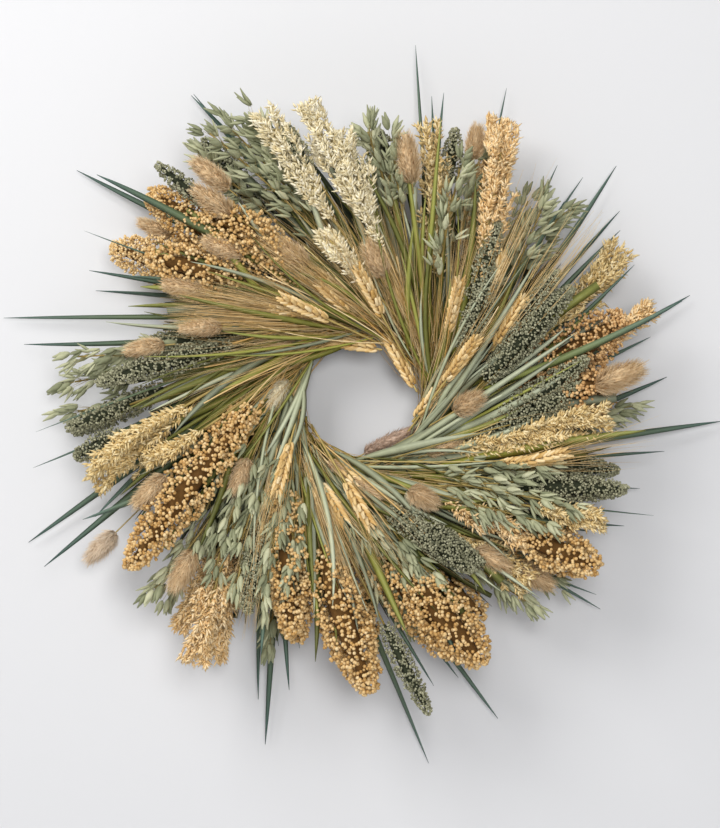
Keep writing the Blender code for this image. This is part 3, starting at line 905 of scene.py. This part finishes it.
def wheat_ear(bundle, line, head, rng, awn_mm):
    """Kernels over the ear's length, and an awn from most."""
    grow_stem(bundle, line, 2.2, head, 0.7)
    end = min(1.0, head + EAR_LENGTH / line.length)
    for rank in range(RANKS):
        share = head + (end - head) * rank / RANKS
        axes = line.axes(share, roll=EAR_ROLL)
        plump = 0.72 + 0.28 * math.sin(math.pi * (rank + 1) / (RANKS + 1))
        for turn in (0.0, math.pi, math.pi / 2 if rank % 2 else -math.pi / 2):
            out = axes[:, 0] * math.cos(turn) + axes[:, 1] * math.sin(turn)
            stagger = 0.5 * (end - head) / RANKS * line.length if turn == math.pi else 0.0
            kernel = leaning(axes, [turn + rng.uniform(-0.15, 0.15)], math.radians(rng.uniform(24, 32)))
            place = line.at(share) + axes[:, 2] * stagger + out * 1.6 * MM
            bundle.plant(WHEAT_KERNEL, place, kernel, KERNEL_FORM * plump, rng.uniform(0.3, 1.0), share)
            if rng.uniform() < BALD:
                continue
            sway = leaning(axes, [turn + rng.uniform(-0.5, 0.5)], math.radians(rng.uniform(2, AWN_SPREAD)))
            root = place[0] + kernel[0, 2] * 8 * MM
            tip = root + sway[0, 2] * awn_mm * MM * rng.uniform(0.75, 1.1)
            awn = Line(root, tip, rng.uniform(-0.004, 0.004), rng.uniform(-0.003, 0.003))
            bundle.sweep(AWN, awn, AWN_WIDTH, AWN_WIDTH, rng.uniform(0.3, 1.0))


def wheat(name, line, head, nodes=(), awn_mm=AWN_MM):
    """A stalk of wheat with one ear."""
    rng = np.random.default_rng(seed_of(name))
    bundle = Bundle()
    wheat_ear(bundle, line, head, rng, awn_mm)
    return bundle.make(name, [WHEAT_HUSK, STRAW_SKIN], nodes)


# %% [markdown]
# ## Bunny tails
# A bunny tail is an egg of soft hairs. Blender's hair system would draw them well, but it isn't mesh, so
# each hair is a thin three-sided needle. They lean out at the foot of the egg and close over its tip.

# %% Bunny tail
HAIRS = 1000
HAIR_WIDTH = 0.7 * MM  # a tuft of the real hairs, which are too fine to show one by one


def bunny_tail(name, line, head, radius, hair, nodes=()):
    """A bunny tail on its stem."""
    rng = np.random.default_rng(seed_of(name))
    bundle = Bundle()
    grow_stem(bundle, line, 1.4, head, 0.6)
    share = rng.beta(1.15, 1.35, HAIRS)
    place = head + share * (1 - head) * 0.86
    turn = rng.uniform(0, 2 * np.pi, HAIRS)
    stalk = line.axes(place)
    lean = np.radians(50 - 38 * share + rng.normal(0, 7, HAIRS))
    axes = leaning(stalk, turn, lean)
    out = stalk[:, 0] * np.cos(turn)[:, None] + stalk[:, 1] * np.sin(turn)[:, None]
    egg = np.sin(np.pi * (share * 0.86 + 0.1)) ** 0.6
    roots = line.at(place) + out * (radius * 0.62 * egg)[:, None]
    long = radius * rng.uniform(0.7, 1.15, HAIRS)
    width = np.full(HAIRS, HAIR_WIDTH)
    bundle.plant(HAIR, roots, axes, np.stack([width, width, long], axis=1), rng.uniform(0, 1, HAIRS), place)
    bundle.sweep(CORE, line, radius * 1.5, radius * 1.5, 0.45, reach=(head, head + (1 - head) * 0.93))
    return bundle.make(name, [hair, STRAW_SKIN], nodes)


# %% [markdown]
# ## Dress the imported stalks
# Each packed stalk is replaced by the plant it stands for, on the same line. The heads swell a little
# past their plain solids, because loose grains do. Two sorghum heads on the right are browner than the
# rest, and the plumes at the upper right are peach.

# %% Dress the stalks that carry a head
SKINS = {"sorghum_stalk_01": RUSSET_SKIN, "sorghum_stalk_05": RUSSET_SKIN, "sorghum_stalk_02": PALE_SKIN}
FINE_GRAINS = {"sorghum_stalk_02": 3.0, "sorghum_stalk_06": 3.4, "sorghum_stalk_05": 3.6}  # mm
HUSKS = {"broom_millet_02": PEACH_HUSK, "broom_millet_03": PEACH_HUSK, "broom_millet_07": CREAM_HUSK}
SORGHUM_SWELL = 1.14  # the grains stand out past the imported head
SLIM_HEADS = {"sorghum_stalk_09": 0.92, "sorghum_stalk_07": 0.95}
SORGHUM_START = 0.06  # the lowest knots hang this share of the stalk below the head
PLUME_SWELL = 1.45
BRANCHES = 24
FULL_BRANCHES = 40  # on a peach plume
MILLET_SWELL = 1.1
OAT_SWELL = 1.2
TAIL_SWELL = 1.1
SHORT_AWN_MM = 74

for node, (line, head, radius) in stalks.items():
    number = node[-2:]
    if node.startswith("sorghum"):
        swell = SLIM_HEADS.get(node, SORGHUM_SWELL)
        skin = SKINS.get(node, SORGHUM_SKIN)
        sorghum(f"sorghum_head_{number}", line, head - SORGHUM_START, radius * swell, skin, [node],
                FINE_GRAINS.get(node, SORGHUM_MM))
    elif node.startswith("broom"):
        husk = HUSKS.get(node, GOLD_HUSK)
        branches = FULL_BRANCHES if husk == PEACH_HUSK else BRANCHES
        cream_plume(f"cream_plume_{number}", line, head, radius * PLUME_SWELL, husk, [node], branches)
    elif node.startswith("green"):
        green_millet(f"green_millet_head_{number}", line, head, radius * MILLET_SWELL, [node])
    elif node.startswith("oat"):
        oat(f"oat_spray_{number}", line, head, radius * OAT_SWELL, [node])
    elif node.startswith("bunny"):
        bunny_tail(f"bunny_tail_head_{number}", line, head, radius * TAIL_SWELL, TAIL_HAIR, [node])
    elif node.startswith("wheat"):
        wheat(f"wheat_ear_{number}", line, head, [node], SHORT_AWN_MM)
print("stalks dressed", len([name for name in stalks if not name.startswith("grass")]))

# %% [markdown]
# ## Long blades
# A reed blade is a thin strip that bows, and turns over a little on its way to a soft point. Cloth could
# bend it, but one strip with a roll and a twist is enough at this width.

# %% Long blades
BLADE_OVERRUN = 0.012  # the soft last bit of a blade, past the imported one
BLADE_MM = 9.0
THIN_BLADES = {"grass_blade_03": 5.0, "grass_blade_06": 6.0}  # mm
THINNEST = 0.9  # mm
LEAF_DEPTH = 0.14  # depth of a folded leaf for each mm of its width


def leaf(bundle, line, width_mm, tone, rng, shape=BLADE, finish=0):
    """One leaf along a line, with a roll and a twist of its own."""
    depth_mm = max(THINNEST, width_mm * LEAF_DEPTH)
    roll = rng.uniform(-0.5, 0.5)
    twist = rng.uniform(-0.6, 0.6)
    bundle.sweep(shape, line, width_mm * MM, depth_mm * MM, tone, finish, roll, twist)


for node, (line, head, radius) in stalks.items():
    if node.startswith("grass"):
        rng = np.random.default_rng(seed_of(node))
        bundle = Bundle()
        tip = line.tip + line.span / line.length * BLADE_OVERRUN
        curved = Line(line.foot, tip, rng.uniform(-0.01, 0.01), rng.uniform(0.0, 0.012))
        leaf(bundle, curved, THIN_BLADES.get(node, BLADE_MM), rng.uniform(0.1, 0.8), rng)
        bundle.make(f"reed_blade_{node[-2:]}", [REED_LEAF], [node])

# %% [markdown]
# ## The loose filling: grain
# The maker tucks more heads between the first ones until no gap is left. They could be scattered at
# random, but a real wreath is bound in small bunches, so the mix changes as one goes round. Each entry
# is listed as a bearing in degrees, counter-clockwise from the right, then where the head starts
# and ends in millimetres from the centre, its layer, and its radius.

# %% More heads of grain
MORE_SORGHUM = ((131, 150, 238, "front", 23, SORGHUM_SKIN), (6, 192, 238, "front", 16, RUSSET_SKIN),
                (300, 190, 250, "back", 15, SORGHUM_SKIN), (147, 165, 250, "front", 20, SORGHUM_SKIN),
                (263, 110, 200, "middle", 20, SORGHUM_SKIN), (240, 120, 215, "back", 20, SORGHUM_SKIN),
                (255, 108, 240, "face", 19, SORGHUM_SKIN), (270, 150, 284, "front", 24, SORGHUM_SKIN),
                (293, 182, 281, "front", 26, SORGHUM_SKIN), (323, 206, 281, "front", 21, SORGHUM_SKIN),
                (216, 100, 150, "face", 15, SORGHUM_SKIN))
MORE_GREEN = ((340, 168, 272, "front", 13), (344, 178, 262, "middle", 12), (308, 115, 202, "face", 12),
              (279, 222, 311, "front", 9), (129, 240, 300, "front", 8), (119, 250, 304, "back", 8),
              (105.5, 230, 280, "front", 8), (86, 225, 263, "middle", 9), (69.5, 230, 280, "middle", 9),
              (53, 108, 182, "face", 12), (58, 190, 262, "back", 10), (30, 122, 230, "face", 13),
              (13, 118, 222, "face", 12), (7.5, 118, 214, "face", 11), (2, 130, 202, "front", 10),
              (190, 238, 288, "middle", 11), (184, 230, 292, "middle", 9), (171, 130, 246, "middle", 12),
              (238, 200, 268, "back", 9), (317, 130, 215, "middle", 10))
MORE_CREAM = ((333, 188, 262, "face", 14, GOLD_HUSK), (323, 128, 212, "face", 16, PEACH_HUSK),
              (107, 165, 293, "front", 18, CREAM_HUSK), (94.5, 160, 256, "face", 19, CREAM_HUSK),
              (114, 108, 166, "top", 11, CREAM_HUSK), (200, 158, 218, "face", 11, GOLD_HUSK),
              (194, 158, 271, "face", 13, GOLD_HUSK), (14.5, 212, 298, "middle", 13, PEACH_HUSK),
              (235, 190, 302, "front", 19, PEACH_HUSK), (230, 200, 290, "middle", 14, PEACH_HUSK),
              (355, 100, 200, "face", 13, GOLD_HUSK), (60, 150, 290, "face", 19, PEACH_HUSK))

for i, (*place, radius, skin) in enumerate(MORE_SORGHUM, 1):
    sorghum(f"loose_sorghum_{i:02d}", *laid(*place), radius * MM, skin)
for i, (*place, radius) in enumerate(MORE_GREEN, 1):
    green_millet(f"loose_green_millet_{i:02d}", *laid(*place), radius * MM)
for i, (*place, radius, husk) in enumerate(MORE_CREAM, 1):
    cream_plume(f"loose_cream_plume_{i:02d}", *laid(*place), radius * MM, husk)
print("loose heads", len(MORE_SORGHUM), len(MORE_GREEN), len(MORE_CREAM))

# %% [markdown]
# ## The loose filling: oats, wheat and bunny tails
# Oats soften the edges between the bunches, and a few hang across the lower face. Wheat ears lie round
# the rim of the opening, where they hide the cut ends. These and the bunny tails go in last, so they are
# placed by where they lie: across and up from the centre, in millimetres.

# %% More oats
MORE_OATS = ((118, 160, 300, "front"), (122, 190, 290, "middle"), (114, 200, 302, "middle"),
             (110, 180, 280, "middle"), (89, 180, 263, "front"), (84, 180, 252, "front"),
             (68, 140, 246, "face"),
             (64, 170, 262, "middle"), (47, 190, 258, "front"), (42, 190, 272, "middle"),
             (175, 225, 293, "back"),
             (181, 220, 290, "back"), (240, 100, 226, "face"), (233, 105, 225, "face"),
             (227, 115, 220, "front"), (222, 190, 273, "front"), (293, 105, 178, "face"),
             (299, 110, 185, "face"), (342, 98, 183, "face"), (346, 105, 190, "face"),
             (316, 160, 270, "back"),
             (309, 180, 262, "middle"), (358, 190, 263, "back"), (284, 140, 225, "middle"),
             (249, 190, 262, "back"))
OAT_RADIUS = 15 * MM
for i, place in enumerate(MORE_OATS, 1):
    oat(f"loose_oat_spray_{i:02d}", *laid(*place), OAT_RADIUS)

INNER_OATS = ((-66, -16, -92, -156), (-60, -36, -72, -180), (-74, -4, -118, -140), (-62, -50, -96, -200),
              (62, -80, 204, -106), (50, -88, 180, -122))
INNER_OAT_RADIUS = 13 * MM
INNER_OAT_HEAD = 0.22  # share of the stalk where the spray starts
for i, (foot_x, foot_z, tip_x, tip_z) in enumerate(INNER_OATS, 1):
    line = between((foot_x, foot_z), (tip_x, tip_z), "top", bow=(i % 3 - 1) * 5)
    oat(f"inner_oat_spray_{i:02d}", line, INNER_OAT_HEAD, INNER_OAT_RADIUS)

# %% More wheat
MORE_WHEAT = ((51, 150, 206, "face"), (348, 148, 212, "face"), (277, 92, 148, "face"),
              (272, 95, 152, "front"),
              (160, 88, 146, "face"), (156, 92, 150, "top"), (152, 96, 152, "face"), (129, 92, 148, "face"),
              (95, 84, 136, "face"))
WHEAT_STEM = 30  # mm
for i, (bearing, inner, outer, layer) in enumerate(MORE_WHEAT, 1):
    line, head = laid(bearing, inner, outer, layer, stem=run_to(inner) - WHEAT_STEM)
    wheat(f"loose_wheat_ear_{i:02d}", line, head)

RIM_EARS = ((55, 6, 22, 66), (50, -24, 88, 24), (20, 48, -32, 58), (-8, 82, -42, 112), (146, -67, 198, -54),
            (-57, 28, -72, -32), (-42, -82, -17, -122), (-34, -60, 12, -98), (128, 46, 158, 98),
            (84, 58, 96, 116))
RIM_HEAD = 0.08
RIM_AWN_MM = 90
for i, (foot_x, foot_z, tip_x, tip_z) in enumerate(RIM_EARS, 1):
    line = between((foot_x, foot_z), (tip_x, tip_z), "top")
    wheat(f"rim_wheat_ear_{i:02d}", line, RIM_HEAD, awn_mm=RIM_AWN_MM)

# %% More bunny tails
MORE_TAILS = ((-147, 216, 46, 10, "face"), (-137, 146, 46, 9, "face"), (-175, 107, 46, 9, "face"),
              (-159, 68, 44, 8, "top"), (-212, 48, 40, 9, "face"), (-87, 55, 42, 8, "face"),
              (13, 136, 40, 11, "top"),
              (45, 233, 50, 11, "face"), (110, 248, 34, 9, "front"), (101, -8, 27, 8, "top"),
              (83, -47, 40, 7, "top"),
              (-20, -72, 34, 7, "top"), (4, -92, 40, 8, "top"), (250, 20, 52, 13, "face"),
              (171, -177, 44, 11, "middle"), (128, -159, 40, 10, "front"), (-174, -169, 46, 11, "face"),
              (-207, -92, 44, 10, "face"), (-120, -78, 40, 9, "top"), (-70, 142, 40, 11, "face"),
              (-208, 170, 40, 8, "back"))
PALE_TAILS = ((-84, 3, 36, 8, "top"), (58, -100, 32, 9, "top"), (-40, 236, 30, 8, "front"))
for i, (across, up, length, radius, layer) in enumerate(MORE_TAILS + PALE_TAILS, 1):
    line, head = through(across, up, length, layer)
    hair = TAIL_HAIR if i <= len(MORE_TAILS) else CREAM_HAIR
    bunny_tail(f"loose_bunny_tail_{i:02d}", line, head, radius * MM, hair)
line = between((-4, -59), (58, -27), "face")
bunny_tail("inner_bunny_tail", line, 0.1, 7 * MM, ROSE_HAIR)
line, head = through(-262, -150, 44, "back", stem=70)
bunny_tail("blush_bunny_tail", line, head, 10 * MM, PALE_HAIR)
print("bunny tails", len(MORE_TAILS) + len(PALE_TAILS) + 2)

# %% [markdown]
# ## Leaves
# Long reed tips stick out past the grain and draw the wreath's outline. Each is given by the bearing and
# distance of its tip and its width. The leaves that cross the face are given by their two ends. All the
# leaves of one kind make one piece.

# %% Long leaves given one by one
LONG_LEAVES = ((25, 276, 8), (32, 306, 7), (36, 324, 8), (50, 304, 6), (65, 348, 5), (75, 316, 8),
               (77, 304, 6),
               (109, 290, 7), (119, 347, 7), (155, 296, 7), (158, 292, 9), (171, 342, 7), (208, 352, 9),
               (251, 324, 7), (256, 262, 9), (284, 292, 6), (293, 354, 8), (310, 252, 7), (320, 306, 7),
               (334, 292, 7), (338, 309, 3), (342, 297, 8), (350, 307, 6), (4, 311, 9), (12, 300, 7),
               (45, 318, 6),
               (33, 308, 7), (26, 298, 6), (88, 283, 6), (289, 296, 7), (256, 296, 8), (204, 292, 9),
               (192, 336, 4),
               (186, 322, 3), (149, 318, 3), (147, 262, 8), (18, 270, 7), (240, 280, 7))
bundle = Bundle()
rng = np.random.default_rng(11)
for bearing, reach, width in LONG_LEAVES:
    layer = ("wall", "back", "middle")[int(rng.integers(3))]
    crossing = bearing - math.degrees(math.acos(CIRCLE / reach) - math.acos(CIRCLE / BEARING_REACH))
    line, head = laid(crossing, reach, reach, layer, bow=rng.uniform(-10, 10), lift=rng.uniform(0, 8))
    leaf(bundle, line, width, rng.uniform(0, 0.9), rng)
bundle.make("long_leaves", [REED_LEAF])

# %% Leaves on the face of the wreath
FACE_LEAVES = ((-57, 53, -217, -11, 10, "face"), (-60, 30, -182, -82, 9, "face"),
               (-75, 20, -235, -95, 9, "front"),
               (72, 12, 40, 248, 7, "face"), (60, -2, 76, 268, 6, "face"), (66, 24, 62, 198, 6, "face"),
               (46, 40, 50, 168, 7, "top"), (-74, -72, -42, -217, 9, "face"),
               (-57, -62, -47, -190, 9, "top"),
               (78, -67, 273, -32, 10, "face"), (68, -107, 158, -127, 8, "top"),
               (-20, -90, 44, -230, 9, "face"),
               (20, -80, 120, -190, 9, "face"), (-88, 100, -216, 108, 9, "front"),
               (-80, 78, -150, 165, 8, "face"),
               (-118, -20, -160, -150, 8, "face"), (86, 20, 110, 210, 8, "face"),
               (-66, -30, -130, -140, 8, "face"))
TEAL_LEAVES = ((-66, 112, -255, 214, 9, "front"), (112, 6, 306, 92, 8, "face"),
               (-96, -40, -270, -118, 9, "front"),
               (92, 40, 196, 190, 8, "front"), (-70, -96, -98, -250, 8, "front"),
               (30, -100, 96, -262, 8, "front"),
               (-86, 90, -230, 118, 7, "front"), (70, -80, 220, -130, 7, "front"))
SAGE_LEAVES = ((48, -52, 198, 23, 10, "top"), (40, -60, 170, -20, 9, "top"), (20, -66, 150, -52, 9, "face"),
               (60, -40, 160, 60, 9, "top"), (0, -75, 120, -110, 9, "top"), (62, -20, 120, 90, 8, "face"),
               (30, -72, 100, -150, 8, "face"), (74, -10, 196, 66, 8, "face"),
               (-10, -78, 60, -190, 9, "face"),
               (8, -62, 150, 6, 11, "top"), (-6, -62, 124, -34, 10, "top"), (26, -66, 192, 40, 11, "top"),
               (-30, 66, -120, 190, 8, "face"), (0, 70, -60, 230, 8, "front"),
               (-70, -10, -110, -160, 9, "face"))
rng = np.random.default_rng(12)


def lay_leaves(name, leaves, finish, darkest):
    """One piece from leaves given by foot, tip, width and layer."""
    bundle = Bundle()
    for foot_x, foot_z, tip_x, tip_z, width, layer in leaves:
        bow = rng.uniform(-6, 6)
        lift = rng.uniform(0, 6)
        line = between((foot_x, foot_z), (tip_x, tip_z), layer, bow, lift)
        leaf(bundle, line, width, rng.uniform(darkest, 1), rng)
    bundle.make(name, [finish])


lay_leaves("olive_leaves", FACE_LEAVES, OLIVE_LEAF, 0.2)
lay_leaves("reed_leaves_in_front", TEAL_LEAVES, REED_LEAF, 0.3)
lay_leaves("sage_leaves", SAGE_LEAVES, SAGE_LEAF, 0.3)
print("leaves laid by hand", len(LONG_LEAVES) + len(FACE_LEAVES) + len(TEAL_LEAVES) + len(SAGE_LEAVES))

# %% [markdown]
# ## Small stuff that fills the body
# Between the chosen stalks lie hundreds of small leaves, straws and awns that nobody places one by one.
# They are spread evenly round the ring, with chance deciding the layer, length, lean and shade. The
# leaves at the back are painted near black as painted shade, which gives the gaps their depth. The
# straws are golden round the upper left, where the wheat is, and sage green elsewhere.

# %% Small leaves
LEAF_COUNT = 380
LEAF_REACH = (160, 262)  # mm
CUT_SHARE = 0.2  # of the leaves are cut short
BACK_LAYERS = ("wall", "back")
bundle = Bundle()
rng = np.random.default_rng(13)
for i in range(LEAF_COUNT):
    layer = ("wall", "back", "back", "middle", "front")[int(rng.integers(5))]
    reach = rng.uniform(*LEAF_REACH)
    bearing = 360 * (i + rng.uniform(0, 1)) / LEAF_COUNT
    line, head = laid(bearing, reach, reach, layer, stem=rng.uniform(-6, 30), circle=rng.uniform(64, 86),
                      bow=rng.uniform(-12, 12), lift=rng.uniform(-4, 6))
    shape = CUT_LEAF if rng.uniform() < CUT_SHARE else BLADE
    # Leaves in the wall and back layers take the shade leaf, painted near black as painted shade.
    finish = 2 if layer in BACK_LAYERS else int(rng.uniform() < 0.5)
    leaf(bundle, line, rng.uniform(5, 10), rng.uniform(0, 1), rng, shape, finish)
bundle.make("filling_leaves", [SAGE_LEAF, OLIVE_LEAF, PAINTED_SHADE_LEAF])

# %% Straws round the opening
GOLDEN = (60, 215)  # bearings between which the straws are golden
STRAW_COUNT = 230
STRAW_REACH = (95, 165)  # mm
bundle = Bundle()


def golden_share(bearing, inside, outside):
    """How many of the copies at this bearing take the golden finish."""
    return inside if GOLDEN[0] < bearing < GOLDEN[1] else outside


for i in range(STRAW_COUNT):
    layer = ("back", "middle", "front", "face", "top")[int(rng.integers(5))]
    bearing = 360 * (i + rng.uniform(0, 1)) / STRAW_COUNT
    reach = rng.uniform(*STRAW_REACH)
    line, head = laid(bearing, reach, reach, layer, stem=rng.uniform(-30, 0), circle=rng.uniform(58, 80),
                      bow=rng.uniform(-6, 6), lift=rng.uniform(-3, 3))
    width = rng.uniform(0.7, 1.7) * MM
    tone = rng.uniform(0.2, 1)
    finish = int(rng.uniform() < golden_share(bearing, 0.7, 0.4))
    bundle.sweep(STRAW, line, width, width, tone, finish)
bundle.make("inner_straws", [STRAW_SKIN, WHEAT_HUSK])

# %% Loose awns
AWN_COUNT = 620
AWN_REACH = (110, 225)  # mm
AWN_GOLDEN_SHARE = 0.65
LOOSE_AWN_WIDTH = 0.6 * MM
bundle = Bundle()
for i in range(AWN_COUNT):
    bearing = rng.uniform(*GOLDEN) if rng.uniform() < AWN_GOLDEN_SHARE else rng.uniform(0, 360)
    reach = rng.uniform(*AWN_REACH)
    line, head = laid(bearing, reach, reach, ("front", "face", "top")[int(rng.integers(3))],
                      stem=rng.uniform(-20, 50), circle=rng.uniform(56, 80), bow=rng.uniform(-10, 10),
                      lift=rng.uniform(-3, 6))
    bundle.sweep(AWN, line, LOOSE_AWN_WIDTH, LOOSE_AWN_WIDTH, rng.uniform(0.2, 1))

AWN_FANS = (  # bearing, where the fan starts and ends, and how many awns it has
    (162, 88, 205, 72), (155, 90, 212, 78), (131, 88, 200, 54), (99, 84, 170, 30), (274, 90, 190, 36),
    (36, 140, 285, 24), (50, 155, 262, 18), (244, 100, 255, 36))
FAN_WIDTH = 2.4  # degrees
for bearing, inner, outer, count in AWN_FANS:
    for awn in range(count):
        reach = outer + rng.uniform(-25, 8)
        line, head = laid(bearing + rng.normal(0, FAN_WIDTH), reach, reach, ("face", "top")[awn % 2],
                          stem=run_to(inner) + rng.uniform(-20, 15), circle=rng.uniform(70, 80),
                          bow=rng.uniform(-5, 5), lift=rng.uniform(-2, 5))
        bundle.sweep(AWN, line, MM, MM, rng.uniform(0.55, 1))
bundle.make("loose_awns", [WHEAT_HUSK])

# %% Thin leaves round the opening
INNER_LEAF_COUNT = 170
INNER_REACH = (110, 225)  # mm
bundle = Bundle()
for i in range(INNER_LEAF_COUNT):
    layer = ("middle", "front", "face", "top")[int(rng.integers(4))]
    bearing = 360 * (i + rng.uniform(0, 1)) / INNER_LEAF_COUNT
    reach = rng.uniform(*INNER_REACH)
    line, head = laid(bearing, reach, reach, layer, stem=rng.uniform(-30, 30), circle=rng.uniform(58, 82),
                      bow=rng.uniform(-14, 14), lift=rng.uniform(-3, 6))
    width = rng.uniform(2.5, 8.0)
    tone = rng.uniform(0, 1)
    finish = int(rng.uniform() < golden_share(bearing, 0.7, 0.2))
    leaf(bundle, line, width, tone, rng, BLADE, finish)
bundle.make("inner_leaves", [SAGE_LEAF, OLIVE_LEAF])
print("small leaves", LEAF_COUNT + INNER_LEAF_COUNT, "straws", STRAW_COUNT, "awns", AWN_COUNT)

# %% [markdown]
# ## Wire
# The ring and the thin binding wire are steel dipped in dark green enamel, so that they hide among the
# leaves. The hanger is drawn steel with a zinc plating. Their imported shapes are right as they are, so they
# aren't modelled again and only take a finish: a fine noise wears the coat in small spots and gives it a
# slight relief.

# %% Wire finishes
WORN_FROM = 0.55  # the noise value where the coat starts to wear
WORN_TO = 0.75
WIRE_RELIEF = 0.3
SCRATCH_MM = 0.05


def wire_finish(name, coat, worn, metallic, roughness, spot_mm):
    """Drawn wire: faint scratches and worn spots in its coat."""
    material, tree = blank_material(name)
    place = add_node(tree, "ShaderNodeTexCoord")
    wear = add_node(tree, "ShaderNodeTexNoise", [("Scale", 1 / (spot_mm * MM)), ("Detail", 5.0)],
                    [("Vector", place.outputs["Object"])])
    ramp = add_node(tree, "ShaderNodeValToRGB", [], [("Fac", wear.outputs["Fac"])])
    for element, position, shade in zip(ramp.color_ramp.elements, (WORN_FROM, WORN_TO), (coat, worn)):
        element.position = position
        element.color = srgb(shade)
    close_finish(tree, ramp.outputs["Color"], wear.outputs["Fac"], WIRE_RELIEF, SCRATCH_MM,
                 [("Metallic", metallic), ("Roughness", roughness)])
    return material


# Baked enamel on steel: a smooth dark coat, greyer where it has rubbed.
GREEN_ENAMEL = wire_finish("green_enamelled_steel", "#26382A", "#4A5648", 0.0, 0.4, 6.0)
# Zinc plating: a bright metal that has dulled a little.
ZINC_WIRE = wire_finish("zinc_plated_steel", "#9EA1A3", "#C2C5C6", 1.0, 0.35, 3.0)
for node, obj in frame["nodes"].items():
    if node.startswith(("ring", "cross", "paddle", "hanger")):
        obj.data.materials.clear()
        obj.data.materials.append(ZINC_WIRE if node == "hanger_loop" else GREEN_ENAMEL)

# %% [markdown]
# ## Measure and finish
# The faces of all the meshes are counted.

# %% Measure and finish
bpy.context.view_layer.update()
faces = sum(len(o.data.polygons) for o in bpy.data.objects if o.type == "MESH")
print("faces in all", faces)
